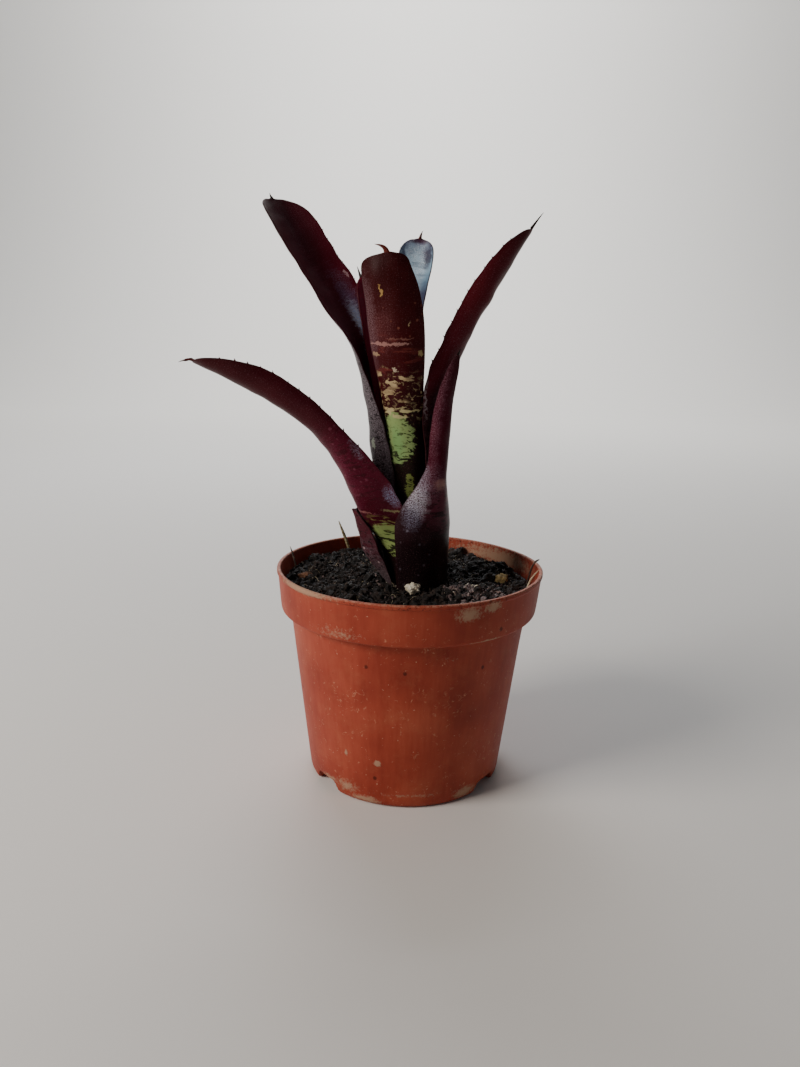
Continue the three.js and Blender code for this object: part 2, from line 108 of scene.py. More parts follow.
def new_finish(name):
    """An empty material, and its node tree"""
    finish = bpy.data.materials.new(name)
    finish.use_nodes = True
    finish.node_tree.nodes.clear()
    return finish, finish.node_tree


def close_finish(tree, **sockets):
    """Ends a material with its shader, whose sockets are given by name"""
    shader = add(tree, "BsdfPrincipled", {k.replace("_", " "): v for k, v in sockets.items()})
    output = tree.nodes.new("ShaderNodeOutputMaterial")
    tree.links.new(shader, output.inputs["Surface"])


def in_mm(tree):
    """Places on the object in millimetres"""
    place = add(tree, "TexCoord", out=3)
    return add(tree, "VectorMath", {0: place, "Scale": 1000}, "SCALE")


def away_from(tree, place, middle, stretch):
    """How far places are from the middle of a mark, with the mark stretched to a radius of 1"""
    away = add(tree, "VectorMath", [place, middle], "SUBTRACT")
    away = add(tree, "VectorMath", [away, stretch], "MULTIPLY")
    return add(tree, "VectorMath", [away], "LENGTH", 1)


def stained(tree, colour, *stains):
    """Lays stains over a colour, one after another. Each is its share of the surface and its hex"""
    for share, stain in stains:
        mixed = {0: share, 6: colour, 7: linear(stain)}
        colour = add(tree, "Mix", mixed, out=2, data_type="RGBA")
    return colour


def smooth_share(value, low, high):
    """0 below low, 1 above high, and a smooth rise between them"""
    share = np.clip((value - low) / (high - low), 0, 1)
    return share * share * (3 - 2 * share)


def rounded_profile(corners, widest):
    """The corners' profile with each corner rounded, and no stretch of it longer than widest"""
    points = [Vector(corners[0][:2])]
    for before, corner, after in zip(corners, corners[1:], corners[2:]):
        here, back, ahead = (Vector(c[:2]) for c in (corner, before, after))
        back, ahead = back - here, ahead - here
        reach = min(corner[2], back.length * 0.49, ahead.length * 0.49)
        start, end = here + back.normalized() * reach, here + ahead.normalized() * reach
        for share in ([i / 6 for i in range(7)] if reach else [0.5]):
            points.append(start.lerp(here, share).lerp(here.lerp(end, share), share))
    points.append(Vector(corners[-1][:2]))
    fine = [points[0]]
    for start, end in zip(points, points[1:]):
        pieces = max(1, math.ceil((end - start).length / widest(end)))
        fine += [start.lerp(end, (i + 1) / pieces) for i in range(pieces)]
    return fine


def tube_faces(rows, sides):
    """The faces between the rows of a tube's points"""
    faces = []
    for a in range(0, (rows - 1) * sides, sides):
        for k in range(sides):
            m = (k + 1) % sides
            faces.append((a + k, a + m, a + sides + m, a + sides + k))
    return faces


def turned(profile, sides):
    """Points and faces of a closed body: a profile from axis to axis, turned about the Z axis"""
    rings = [p for p in profile if p[0] > 1e-6]
    angles = np.arange(sides) * 2 * math.pi / sides
    radii = np.array([p[0] for p in rings])[:, None]
    heights = np.array([p[1] for p in rings])[:, None] + 0 * angles
    points = np.stack([radii * np.sin(angles), -radii * np.cos(angles), heights], -1).reshape(-1, 3)
    points = np.vstack([points, [0, 0, profile[0][1]], [0, 0, profile[-1][1]]])
    faces, first, last = tube_faces(len(rings), sides), len(points) - 2, len(points) - 1
    end = first - sides
    for i in range(sides):
        j = (i + 1) % sides
        faces += [(first, j, i), (last, end + i, end + j)]
    return points, faces


def join(points, faces, more_points, more_faces):
    """Adds the points and faces of one body to the lists of another"""
    faces += [tuple(len(points) + i for i in face) for face in more_faces]
    points += [tuple(p) for p in more_points]


def new_piece(name, points, faces, finish, smooth=True):
    """A piece of the plant or pot, from points in millimetres"""
    mesh = bpy.data.meshes.new(name)
    mesh.from_pydata((np.asarray(points) * 0.001).tolist(), [], faces)
    if smooth:
        mesh.shade_smooth()
    mesh.materials.append(finish)
    piece = bpy.data.objects.new(name, mesh)
    bpy.context.scene.collection.objects.link(piece)
    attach(piece, "root")
    return piece


def niche_height(points, grow):
    """Height of the drain niches' ceiling over each point, grown outwards by grow"""
    height = np.zeros(len(points))
    for azimuth in np.radians(niche_azimuths):
        outward = points[:, 0] * math.sin(azimuth) - points[:, 1] * math.cos(azimuth)
        aside = np.abs(points[:, 0] * math.cos(azimuth) + points[:, 1] * math.sin(azimuth)) - grow
        arch = np.interp(aside, [a for a, _ in niche_arch], [h for _, h in niche_arch])
        inside = smooth_share(outward, niche_back[0] - grow, niche_back[1] - grow)
        height = np.maximum(height, arch * inside)
    return height + grow * (height > 0)


def bulged(points):
    """The points with the pot's rim pushed out a little on one side"""
    azimuth = np.degrees(np.arctan2(points[:, 0], -points[:, 1]))
    rise = smooth_share(points[:, 2], pot_height - rim_bulge_depth, pot_height)
    away = (azimuth - rim_bulge_azimuth) / rim_bulge_spread
    points[:, :2] *= (1 + rim_bulge / rim_radius * rise * np.exp(-away * away))[:, None]
    return points


# the foot needs faces of 0.45 mm for the niches' arches, and the wall 1.6 mm
pot_profile = rounded_profile(pot_corners, lambda p: 0.45 if p[1] < 8 and p[0] > 24 else 1.6)
outer_rings = 1 + max(range(len(pot_profile)), key=lambda i: pot_profile[i][1])
pot_points, pot_faces = turned(pot_profile, pot_sides)
is_outside = np.arange(len(pot_points)) < outer_rings * pot_sides
for side, wall in ((is_outside, 0), (~is_outside, pot_wall)):
    ceiling = niche_height(pot_points[side], wall)
    blunt = 0.35 * (ceiling > wall)
    gap = np.abs(ceiling - pot_points[side, 2])
    raised = np.maximum(ceiling, pot_points[side, 2])
    pot_points[side, 2] = raised + np.maximum(blunt - gap, 0) ** 2 / (4 * np.maximum(blunt, 1e-6))
pot_points = bulged(pot_points)

# The plastic: satin polypropylene, which has a soft broad shine and takes fine pale scratches
plastic, tree = new_finish("moulded_polypropylene")
mm = in_mm(tree)
xyz = add(tree, "SeparateXYZ", [mm]).node.outputs
back_y = add(tree, "Math", [xyz[1], -1], "MULTIPLY")
turn = add(tree, "Math", [xyz[0], back_y], "ARCTAN2")
azimuth = add(tree, "Math", [turn, math.degrees(1)], "MULTIPLY")
height = xyz[2]
on_pot = add(tree, "CombineXYZ", [azimuth, height])
# broad unevenness of the colour, 25 mm across, and faint upright flow lines 2 mm apart
cloud = add(tree, "TexNoise", {"Vector": mm, "Scale": 0.04, "Detail": 3})
upright = add(tree, "VectorMath", [mm, (0.5, 0.5, 0.02)], "MULTIPLY")
flow = add(tree, "TexNoise", {"Vector": upright, "Scale": 1, "Detail": 4, "Roughness": 0.6})
tone = add(tree, "Math", [cloud, 0.8, -0.05], "MULTIPLY_ADD")
tone = add(tree, "Math", [flow, 0.3, tone], "MULTIPLY_ADD")
colour = add(tree, "ValToRGB", [tone], stops=[(0.3, "#8a3426"), (0.5, "#9e4230"), (0.7, "#ae523c")])
# scratches: hair lines where a noise passes its middle value, kept to short strokes. They are
# drawn 0.3 mm wide, three times as wide as real ones, because thinner ones wouldn't show
scratch = 0
for size, offset in ((0.16, 0), (0.3, 40), (0.24, 80)):
    moved = add(tree, "VectorMath", [mm, (offset, 0, 0)], "ADD")
    bend = add(tree, "TexNoise", {"Vector": moved, "Scale": size, "Detail": 2, "Distortion": 1.4})
    near = add(tree, "Math", [bend, 0.5], "SUBTRACT")
    near = add(tree, "Math", [near], "ABSOLUTE")
    line = add(tree, "MapRange", [near, 0.02 * size, 0.11 * size, 1, 0])
    stroke = add(tree, "TexNoise", {"Vector": moved, "Scale": 0.35, "Detail": 2, "Roughness": 0.6})
    cluster = add(tree, "TexNoise", {"Vector": moved, "Scale": 0.06, "Detail": 1})
    stroke = add(tree, "Math", [cluster, 0.6, stroke], "MULTIPLY_ADD")
    stroke = add(tree, "MapRange", [stroke, 0.955, 1.04, 0, 0.7])
    stroke = add(tree, "Math", [line, stroke], "MULTIPLY")
    scratch = add(tree, "Math", [stroke, scratch], "MAXIMUM")
# dust: grains about 0.3 mm wide, of uneven shape, a few of them dark
warp = add(tree, "TexNoise", {"Vector": mm, "Scale": 1.3, "Detail": 3}, out=1)
warped = add(tree, "VectorMath", {0: warp, "Scale": 1.6}, "SCALE")
warped = add(tree, "VectorMath", [warped, mm], "ADD")
cell = add(tree, "TexVoronoi", {"Vector": warped, "Scale": 0.5})
grain = add(tree, "MapRange", [cell, 0.06, 0.14, 1, 0])
chance = add(tree, "SeparateColor", [cell.node.outputs[1]])
pale_cell = add(tree, "MapRange", [chance, 0.86, 0.88])
dark_cell = add(tree, "MapRange", [chance, 0.04, 0.03])
pale_grain = add(tree, "Math", [grain, pale_cell], "MULTIPLY")
dark_grain = add(tree, "Math", [grain, dark_cell], "MULTIPLY")
# water marks: azimuth, height, half width in degrees, half height in mm, and how much is covered
water_marks = [
    (24, 85.2, 9, 4.6, 0.42), (35, 86.6, 7, 3.2, 0.44), (-48, 88.8, 22, 2, 0.56), (34, 73, 12, 1, 0.4),
    (-22, 2.4, 14, 2.6, 0.42), (-34, 6, 12, 4.5, 0.34), (36, 3.6, 12, 4, 0.42), (5, 6, 30, 1.4, 0.26),
    (-46, 6, 12, 2.2, 0.34), (18, 66, 12, 5, 0.15), (-30, 75.5, 18, 4, 0.26), (128, 85, 44, 6, 0.42),
    (-14.3, 20.2, 2.6, 2, 0.6), (-32.4, 21.8, 1.3, 1.9, 0.6), (0, 5, 70, 6, 0.1), (170, 85, 20, 5, 0.2),
    (-100, 84, 18, 5, 0.16), (170, 4, 24, 4, 0.3), (-140, 60, 14, 9, 0.14), (60, 25, 5, 9, 0.1),
    (-75, 62, 20, 12, 0.1), (100, 8, 30, 6, 0.22), (-110, 6, 26, 5, 0.26),
]
cover = 0
for at, rise, wide, tall, strength in water_marks:
    away = away_from(tree, on_pot, (at, rise, 0), (1 / wide, 1 / tall, 0))
    mark = add(tree, "MapRange", [away, 1.15, 0.1, 0, strength])
    cover = add(tree, "Math", [mark, cover], "MAXIMUM")
speckle = add(tree, "TexNoise", {"Vector": mm, "Scale": 0.8, "Detail": 8, "Roughness": 0.78})
crust = add(tree, "Math", [speckle, cover], "ADD")
crust = add(tree, "MapRange", [crust, 0.67, 0.84, 0, 0.9])
# old dark splashes of soil, each about 1.5 mm wide
splashes = 0
for at, rise in ((-18.8, 62.1), (-1.1, 60.7), (40.6, 76.5), (-15.9, 13.2), (37, 60), (-70, 40), (150, 55)):
    away = away_from(tree, on_pot, (at, rise, 0), (0.9, 0.85, 0))
    away = add(tree, "Math", [speckle, 1.6, away], "MULTIPLY_ADD")
    spot = add(tree, "MapRange", [away, 1.75, 1.35, 0, 0.9])
    splashes = add(tree, "Math", [spot, splashes], "MAXIMUM")
# the rim's bead is rubbed pale along its top, a mark that is partly wear and partly a painted highlight
# where the bead's top catches the light, and soil clings to it in dark grains
worn_and_highlit_bead = add(tree, "MapRange", [height, 88.8, 89.3])
wear_and_highlight_patches = add(tree, "MapRange", [speckle, 0.42, 0.54, 0.05, 0.85])
worn_and_highlit_bead = add(tree, "Math", [worn_and_highlit_bead, wear_and_highlight_patches], "MULTIPLY")
on_bead = add(tree, "MapRange", [height, 87.4, 88])
clinging = add(tree, "TexNoise", {"Vector": mm, "Scale": 0.9, "Detail": 6, "Roughness": 0.75})
clinging = add(tree, "MapRange", [clinging, 0.55, 0.6])
clinging = add(tree, "Math", [clinging, on_bead], "MULTIPLY")
film = add(tree, "TexNoise", {"Vector": mm, "Scale": 0.09, "Detail": 9, "Roughness": 0.75})
film = add(tree, "MapRange", [film, 0.5, 0.75, 0, 0.34])
stains = ((film, "#b8704f"), (worn_and_highlit_bead, "#c08a72"), (scratch, "#c98f70"), (pale_grain, "#d0a688"),
          (dark_grain, "#3d150c"), (splashes, "#3a110a"), (clinging, "#2a1210"), (crust, "#b59a80"))
for share, stain in stains:
    amount = add(tree, "Math", [share, 0.8], "MULTIPLY")
    colour = stained(tree, colour, (amount, stain))
orange_peel = add(tree, "TexNoise", {"Vector": mm, "Scale": 1.6, "Detail": 3})
relief = add(tree, "Math", [crust, 2.2, orange_peel], "MULTIPLY_ADD")
relief = add(tree, "Math", [scratch, -0.8, relief], "MULTIPLY_ADD")
bump = add(tree, "Bump", {"Strength": 0.35, "Distance": 0.00012, "Height": relief})
gloss = add(tree, "MapRange", [crust, 0, 1, 0.48, 0.9])
close_finish(tree, Base_Color=colour, Roughness=gloss, IOR=1.45, Specular_IOR_Level=0.18, Normal=bump)

pot = new_piece("nursery_pot", pot_points, pot_faces, plastic)
holes_points, holes_faces = [], []
for azimuth_of_hole in np.radians(niche_azimuths):
    hole, faces = turned([(0, 3), (hole_radius, 3), (hole_radius, 9), (0, 9)], 24)
    middle = hole_reach * np.array([math.sin(azimuth_of_hole), -math.cos(azimuth_of_hole), 0])
    join(holes_points, holes_faces, hole + middle, faces)
hole_cutter = new_piece("hole_cutter", holes_points, holes_faces, plastic)
cut = pot.modifiers.new("drain_holes", "BOOLEAN")
cut.object, cut.operation, cut.solver = hole_cutter, "DIFFERENCE", "EXACT"
drilled = bpy.data.meshes.new_from_object(pot.evaluated_get(bpy.context.evaluated_depsgraph_get()))
pot.modifiers.clear()
pot.data = drilled
drilled.set_sharp_from_angle(angle=math.radians(50))
bpy.data.objects.remove(hole_cutter)
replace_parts(pot, "pot")


# ---- Potting soil ----
# A dark, damp peat mix, filled to about 8 mm below the rim and heaped a little round the plant. Its
# surface is lumpy, strewn with crumbs of peat, wood fibres and a few white grains of pumice.
soil_level = 81.5
heap_height, heap_radius, slope_x, slope_y = 1.6, 24, -0.025, 0.035
crumb_reach, fibre_start_reach, fibre_reach = 51.6, 48, 50
stem_x, stem_clearance = 3, 11
soil_seed = 11


def lump_list(count):
    """The soil's lumps: place, size and rise of each, from a plain repeatable random number"""
    state, drawn = soil_seed, []
    for _ in range(count * 4):
        state = (state * 1664525 + 1013904223) % 4294967296
        drawn.append(state / 4294967296)
    draws = np.array(drawn).reshape(count, 4)
    reach, angle = 50 * np.sqrt(draws[:, 0]), 2 * math.pi * draws[:, 1]
    size, rise = 2.4 + 3.1 * draws[:, 2], -1.1 + 2.6 * draws[:, 3]
    return np.stack([reach * np.cos(angle), reach * np.sin(angle), size, rise], 1)


soil_lumps = lump_list(190)


def soil_height(x, y):
    """Height of the soil's surface at a place, without its crumbs"""
    away = (x - soil_lumps[:, 0]) ** 2 + (y - soil_lumps[:, 1]) ** 2
    lumps = float(np.sum(soil_lumps[:, 3] * np.exp(-1.4 * away / soil_lumps[:, 2] ** 2)))
    heap = heap_height * math.exp(-((x - stem_x) ** 2 + y * y) / heap_radius ** 2)
    return soil_level + slope_x * x + slope_y * y + heap + lumps


soil_corners = [(0, 1.7, 0), (24, 1.7, 0), (39.3, 1.7, 1.6), (40.3, 8, 0), (47.6, 73.6, 0.5),
                (51.4, 73.8, 0.5), (52.2, 80.9, 0), (51.7, soil_level, 0), (0, soil_level, 0)]
soil_profile = rounded_profile(soil_corners, lambda p: 0.5 if p[1] > 80.9 else 4)
soil_points, soil_faces = turned(soil_profile, 300)
soil_points[:, 2] = np.maximum(soil_points[:, 2], niche_height(soil_points, pot_wall + 0.4))
for point in soil_points:
    x, y, z = point
    if z > soil_level - 0.1:
        rough = noise.fractal(Vector((x, y, 0)) * 0.35, 0.7, 2.1, 5)
        crumbly = noise.noise(Vector((x, y, 7)) * 1.3)
        point[2] = soil_height(x, y) + 1.2 * rough + 0.35 * crumbly

# The soil: peat breaks into dark matt crumbs with a slight damp shine and a browner dust
peat, tree = new_finish("damp_peat")
mm = in_mm(tree)
patchy = add(tree, "TexNoise", {"Vector": mm, "Scale": 0.25, "Detail": 6, "Roughness": 0.7})
colour = add(tree, "ValToRGB", [patchy], stops=[(0.3, "#080504"), (0.5, "#130c0a"), (0.68, "#3a2a22")])
flour = add(tree, "TexNoise", {"Vector": mm, "Scale": 2.4, "Detail": 4, "Roughness": 0.8})
dust = add(tree, "MapRange", [flour, 0.62, 0.72, 0, 0.75])
colour = stained(tree, colour, (dust, "#6a584e"))
bump = add(tree, "Bump", {"Strength": 0.9, "Distance": 0.0005, "Height": flour})
gloss = add(tree, "MapRange", [patchy, 0.35, 0.65, 0.42, 0.9])
close_finish(tree, Base_Color=colour, Roughness=gloss, IOR=1.45, Normal=bump)

soil = new_piece("potting_soil", soil_points, soil_faces, peat)
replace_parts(soil, "soil")


def crumb_shapes(count, fineness, seed, rough):
    """Some broken shapes about 1 mm in radius, as point arrays with their faces"""
    draw, shapes = random.Random(seed), []
    for _ in range(count):
        ball = bmesh.new()
        bmesh.ops.create_icosphere(ball, subdivisions=fineness, radius=1)
        offset = Vector([draw.uniform(0, 50) for _ in range(3)])
        points = [v.co * (1 + rough * noise.noise(v.co * 1.6 + offset)) for v in ball.verts]
        faces = [tuple(v.index for v in f.verts) for f in ball.faces]
        ball.free()
        shapes.append((np.array(points), faces))
    return shapes


def strewn(name, count, sizes, fineness, finish, seed, rise, area=(0, 0, 52), flat=0.45):
    """Crumbs strewn over a round area of the soil as one piece. sizes is the range of their radii,
    and rise how far a crumb's middle stands above the surface, as a share of its radius"""
    draw, shapes = random.Random(seed), crumb_shapes(16, fineness, seed, 0.85)
    points, faces = [], []
    while count:
        x, y = area[0] + draw.uniform(-1, 1) * area[2], area[1] + draw.uniform(-1, 1) * area[2]
        size = sizes[0] + (sizes[1] - sizes[0]) * draw.random() ** 2.5
        off_area = math.hypot(x - area[0], y - area[1]) > area[2]
        at_stem = math.hypot(x - stem_x, y) < stem_clearance
        if off_area or at_stem or math.hypot(x, y) > crumb_reach - size:
            continue
        shape, shape_faces = draw.choice(shapes)
        turn = Euler([draw.uniform(0, 6.28) for _ in range(3)]).to_matrix()
        squash = np.array([draw.uniform(flat, 1.2) for _ in range(3)])
        crumb = (shape * squash * size) @ np.array(turn).T
        crumb += [x, y, soil_height(x, y) + size * rise]
        join(points, faces, crumb.tolist(), shape_faces)
        count -= 1
    new_piece(name, points, faces, finish, smooth=False)


strewn("peat_clods", 130, (1.5, 3.4), 3, peat, 20, 0.25)
strewn("peat_crumbs_coarse", 1000, (0.8, 1.9), 2, peat, 21, 0.5, flat=0.3)
strewn("peat_crumbs_fine", 6600, (0.25, 0.8), 1, peat, 22, 0.9, flat=0.2)


def grained_finish(name, stops, stretch, detail, relief, roughness, uneven=0.7, ior=1.5):
    """A natural finish of one uneven grain, which gives both its colour and its relief. stretch is
    how finely the grain repeats along each axis per mm, and relief its strength and depth in metres"""
    finish, tree = new_finish(name)
    grain = add(tree, "VectorMath", [in_mm(tree), stretch], "MULTIPLY")
    grain = add(tree, "TexNoise", {"Vector": grain, "Scale": 1, "Detail": detail, "Roughness": uneven})
    colour = add(tree, "ValToRGB", [grain], stops=stops)
    bump = add(tree, "Bump", {"Strength": relief[0], "Distance": relief[1], "Height": grain})
    close_finish(tree, Base_Color=colour, Roughness=roughness, IOR=ior, Normal=bump)
    return finish


# Coated slow-release granules and grit: small mauve-grey grains, some of them with a pale rim
grit = grained_finish("mauve_grit", [(0.35, "#2b2122"), (0.5, "#5c4a4a"), (0.65, "#a58f88")],
                      (0.7, 0.7, 0.7), 5, (0.5, 0.0003), 0.55, ior=1.45)
strewn("grit_patch", 130, (0.6, 1.3), 2, grit, 24, 1, (26, -16, 13), 0.6)
strewn("grit_scattered", 620, (0.16, 0.7), 2, grit, 25, 1.1)

# Pumice: a light volcanic glass full of pores, off-white and quite matt
pumice, tree = new_finish("pumice")
mm = in_mm(tree)
pale = add(tree, "TexNoise", {"Vector": mm, "Scale": 0.5, "Detail": 4})
colour = add(tree, "ValToRGB", [pale], stops=[(0.3, "#a2947a"), (0.48, "#d8cfb8"), (0.7, "#f2ecdd")])
pores = add(tree, "TexVoronoi", {"Vector": mm, "Scale": 1.5})
pit = add(tree, "MapRange", [pores, 0.12, 0.3, 0.65, 0])
colour = stained(tree, colour, (pit, "#5d5240"))
bump = add(tree, "Bump", {"Strength": 0.8, "Distance": 0.0004, "Height": pores})
close_finish(tree, Base_Color=colour, Roughness=0.9, IOR=1.5, Normal=bump)
strewn("pumice_grains", 150, (0.18, 0.5), 2, pumice, 23, 1.1)
strewn("pumice_patch", 14, (0.4, 0.9), 2, pumice, 26, 1.1, (27, -15, 12))


# ---- Fibres and roots in the soil ----
# Brown peat fibres and fine dead roots, about a quarter of a millimetre thick, that lie curled on
# the soil. Each is a thin tapering strand.
def strand(path, radii, sides=4):
    """Points and faces of a round strand that follows a path, one radius at each point"""
    path = [Vector(p) for p in path]
    points = []
    for i, here in enumerate(path):
        ahead = (path[min(i + 1, len(path) - 1)] - path[max(i - 1, 0)]).normalized()
        aside = ahead.orthogonal().normalized()
        if i:
            aside = (last_aside - ahead * last_aside.dot(ahead)).normalized()
        last_aside, above = aside, ahead.cross(aside)
        for k in range(sides):
            turn = 2 * math.pi * k / sides
            points.append(here + (aside * math.cos(turn) + above * math.sin(turn)) * radii[i])
    ends = [tuple(range(sides))[::-1], tuple(range(len(points) - sides, len(points)))]
    return points, tube_faces(len(path), sides) + ends


def fibre_bundle(name, count, length, radius, finish, seed):
    """Strands strewn over the soil as one piece, each curling its own way"""
    draw = random.Random(seed)
    points, faces = [], []
    for _ in range(count):
        reach, angle = fibre_start_reach * math.sqrt(draw.random()), draw.uniform(0, 6.28)
        x, y, heading = reach * math.cos(angle), reach * math.sin(angle), draw.uniform(0, 6.28)
        curl, step = draw.uniform(-0.5, 0.5), draw.uniform(*length) / 8
        path = []
        for i in range(9):
            lift = 0.5 + 0.9 * math.sin(i * 0.7 + curl * 9)
            path.append((x, y, soil_height(x, y) + lift))
            heading += curl + draw.uniform(-0.35, 0.35)
            x, y = x + step * math.cos(heading), y + step * math.sin(heading)
            if math.hypot(x, y) > fibre_reach:
                break
        if len(path) < 4:
            continue
        taper = [radius * (1 - 0.6 * i / len(path)) for i in range(len(path))]
        join(points, faces, *strand(path, taper))
    new_piece(name, points, faces, finish)


# Dry plant stalk: pale straw colour with darker streaks along it
straw = grained_finish("dry_stalk", [(0.3, "#6f5f45"), (0.5, "#b8a888"), (0.7, "#e0d5bb")],
                       (0.6, 0.6, 0.6), 4, (0.5, 0.0002), 0.7)

# Old root fibre: dark brown and dull, too thin to have any relief
root_fibre = grained_finish("root_fibre", [(0.35, "#241a15"), (0.55, "#4b3a30"), (0.7, "#7c6a5a")],
                            (0.4, 0.4, 0.4), 3, (0, 0.0001), 0.6, uneven=0.5)
fibre_bundle("peat_fibres", 330, (3, 9), 0.13, root_fibre, 31)
fibre_bundle("pale_roots", 150, (2, 7), 0.1, straw, 32)


# ---- Root crown ----
# The short woody stem that every leaf grows from, brown and fibrous. It stands wholly below the
# surface of the soil, which holds it up.
crown_corners = [(0, 56.7, 0), (6, 56.7, 1.5), (10, 61.8, 2), (13.2, 69.4, 1.5), (13.2, 73.7, 0.6),
                 (0, 73.7, 0)]
crown_points, crown_faces = turned(rounded_profile(crown_corners, lambda p: 1.2), 64)
for point in crown_points:
    swell = 1 - 0.05 * (0.5 + 0.5 * noise.noise(Vector(point) * 0.4))
    point[0], point[1] = point[0] * swell + stem_x, point[1] * swell
crown = new_piece("stem_crown", crown_points, crown_faces, root_fibre)
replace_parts(crown, "root_crown")


# ---- Leaves ----
# Stiff strap leaves that sheathe one another round a short stem. Each is under a millimetre thick,
# hollow towards the plant, spined along both margins, and ends in one hard spine. Sizes are in mm.
# ring is the radius at which a leaf clasps its neighbours, growth its increase per mm of height, and
# wrap half the angle that it clasps. Between the two distances in open the sheath turns into the
# blade, whose half width is width, bent inwards through channel degrees on each side, with its back
# towards the azimuth facing. A high hug closes the sheath's sides tightly round the stem. tip is the
# length of the tip, and form is high for a round one. slant is the share of its width that one side
# of the blade loses over its last 30 mm. The marginal spines start teeth along the leaf and are thorn
# long, horn is the half width of the end spine, and uneven how far the leaf waves.
leaf_foot = 74
stem_lean = 0.07
clasp_height = 35
leaf_thickness, margin_thickness = 0.8, 0.5
spine_pitch = 5
slant_length = 30
half_columns = 18
midrib_columns = slice(half_columns, half_columns + 1)
row_step = 1.15
tip_steps = (6, 4.8, 3.7, 2.7, 1.8, 1.1, 0.6, 0.25)
horn_steps = (0.06, 0.14, 0.24, 0.36, 0.48, 0.6, 0.72, 0.84, 0.93, 1)
thorn_profile = ((-0.5, 0.62, 0.2), (0.15, 0.42, 0.17), (0.6, 0.2, 0.11), (1, 0.03, 0.03))
usual_leaf = dict(growth=0.004, hug=1, slant=0, uneven=0.5)


def rib_line(rib):
    """A smooth line through the midrib's points: its points, headings, distances and length"""
    knots = [2 * Vector(rib[0]) - Vector(rib[1])] + [Vector(p) for p in rib]
    knots.append(2 * knots[-1] - knots[-2])
    line = []
    for a, b, c, d in zip(knots, knots[1:], knots[2:], knots[3:]):
        first, middle, last = (max((q - p).length ** 0.5, 1e-4) for p, q in ((a, b), (b, c), (c, d)))
        leave = ((b - a) / first - (c - a) / (first + middle) + (c - b) / middle) * middle
        arrive = ((c - b) / middle - (d - b) / (middle + last) + (d - c) / last) * middle
        for i in range(40):
            t = i / 40
            line.append(b + leave * t + (-3 * b + 3 * c - 2 * leave - arrive) * t ** 2
                        + (2 * b - 2 * c + leave + arrive) * t ** 3)
    line = np.array([*line, knots[-2]])
    distances = np.concatenate([[0], np.cumsum(np.linalg.norm(np.diff(line, axis=0), axis=1))])
    return line, np.gradient(line, axis=0), distances, distances[-1]


def outwards(azimuth):
    """The level direction of an azimuth, which is counted from the front"""
    return Vector((math.sin(azimuth), -math.cos(azimuth), 0))


def blade_point(rib, heading, azimuth, half_width, half_angle, across):
    """A point of the free blade: an arc across the midrib, hollow towards the plant"""
    side = heading.cross(outwards(azimuth)).normalized()
    inwards = heading.cross(side).normalized()
    radius, turn = half_width / half_angle, across * half_angle
    return rib + side * radius * math.sin(turn) + inwards * radius * (1 - math.cos(turn))


def leaf_row(leaf, line, at, columns):
    """One row of points across the leaf's back, at a distance along the midrib"""
    points, headings, distances, length = line
    rib = Vector([np.interp(at, distances, points[:, i]) for i in range(3)])
    heading = Vector([np.interp(at, distances, headings[:, i]) for i in range(3)]).normalized()
    opened = float(smooth_share(at, *leaf["open"]))
    axis_x = stem_x - stem_lean * max(0, rib.z - soil_level)
    rib_azimuth = math.atan2(rib.x - axis_x, -rib.y)
    facing = math.radians(leaf["facing"])
    facing -= 2 * math.pi * round((facing - rib_azimuth) / (2 * math.pi))
    into = max(0, (at - (length - leaf["tip"])) / leaf["tip"])
    share = math.sqrt(max(0, 1 - into ** leaf["form"]))
    drawn_in = 1 - leaf["slant"] * max(0, 1 - (length - at) / slant_length) ** 2
    azimuth = rib_azimuth + (facing - rib_azimuth) * opened
    half_width = max(leaf["width"] * share, 0.5)
    half_angle = math.radians(leaf["channel"]) * max(share, 0.2)
    risen = min(max(rib.z - soil_level, 0), clasp_height)
    ring = leaf["ring"] * (1 + leaf["growth"] * risen)
    reach = math.hypot(rib.x - axis_x, rib.y)
    row = []
    for column in columns:
        across = column * drawn_in if column > 0 else column
        blade = blade_point(rib, heading, azimuth, half_width, half_angle, across)
        lean = max(math.cos(across * math.pi / 2), 0) ** leaf["hug"]
        clasp = outwards(rib_azimuth + across * math.radians(leaf["wrap"]) * share)
        clasp = clasp * (ring + (reach - ring) * lean) + Vector((axis_x, 0, rib.z))
        row.append(clasp.lerp(blade, opened))
    return row


def end_spine_rows(leaf, line, columns):
    """Rows of points that carry the blade's tip on into its hard spine"""
    foot, heading = Vector(line[0][-1]), Vector(line[1][-1]).normalized()
    point = Vector(leaf["spine"])
    bend = foot + heading * (foot - point).length * 0.5
    rows = []
    for along in horn_steps:
        middle = foot.lerp(bend, along).lerp(bend.lerp(point, along), along)
        ahead = (bend.lerp(point, along) - foot.lerp(bend, along)).normalized()
        half_width = leaf["horn"] * (1 - along) ** 0.9 + 0.05
        azimuth = math.radians(leaf["facing"])
        rows.append([blade_point(middle, ahead, azimuth, half_width, 0.9, a) for a in columns])
    return rows


def hooked_spine(root, out, ahead, size):
    """A marginal spine: a flat-sided thorn that hooks towards the leaf's tip"""
    up = out.cross(ahead).normalized()
    points = []
    for along, wide, thick in thorn_profile:
        middle = root + out * size * along + ahead * size * 0.75 * max(along, 0) ** 1.6
        for forward, over in ((1, 0), (0, 1), (-1, 0), (0, -1)):
            points.append(middle + ahead * forward * wide * size + up * over * thick * size * 1.3)
    return points, tube_faces(len(thorn_profile), 4) + [(3, 2, 1, 0), (12, 13, 14, 15)]


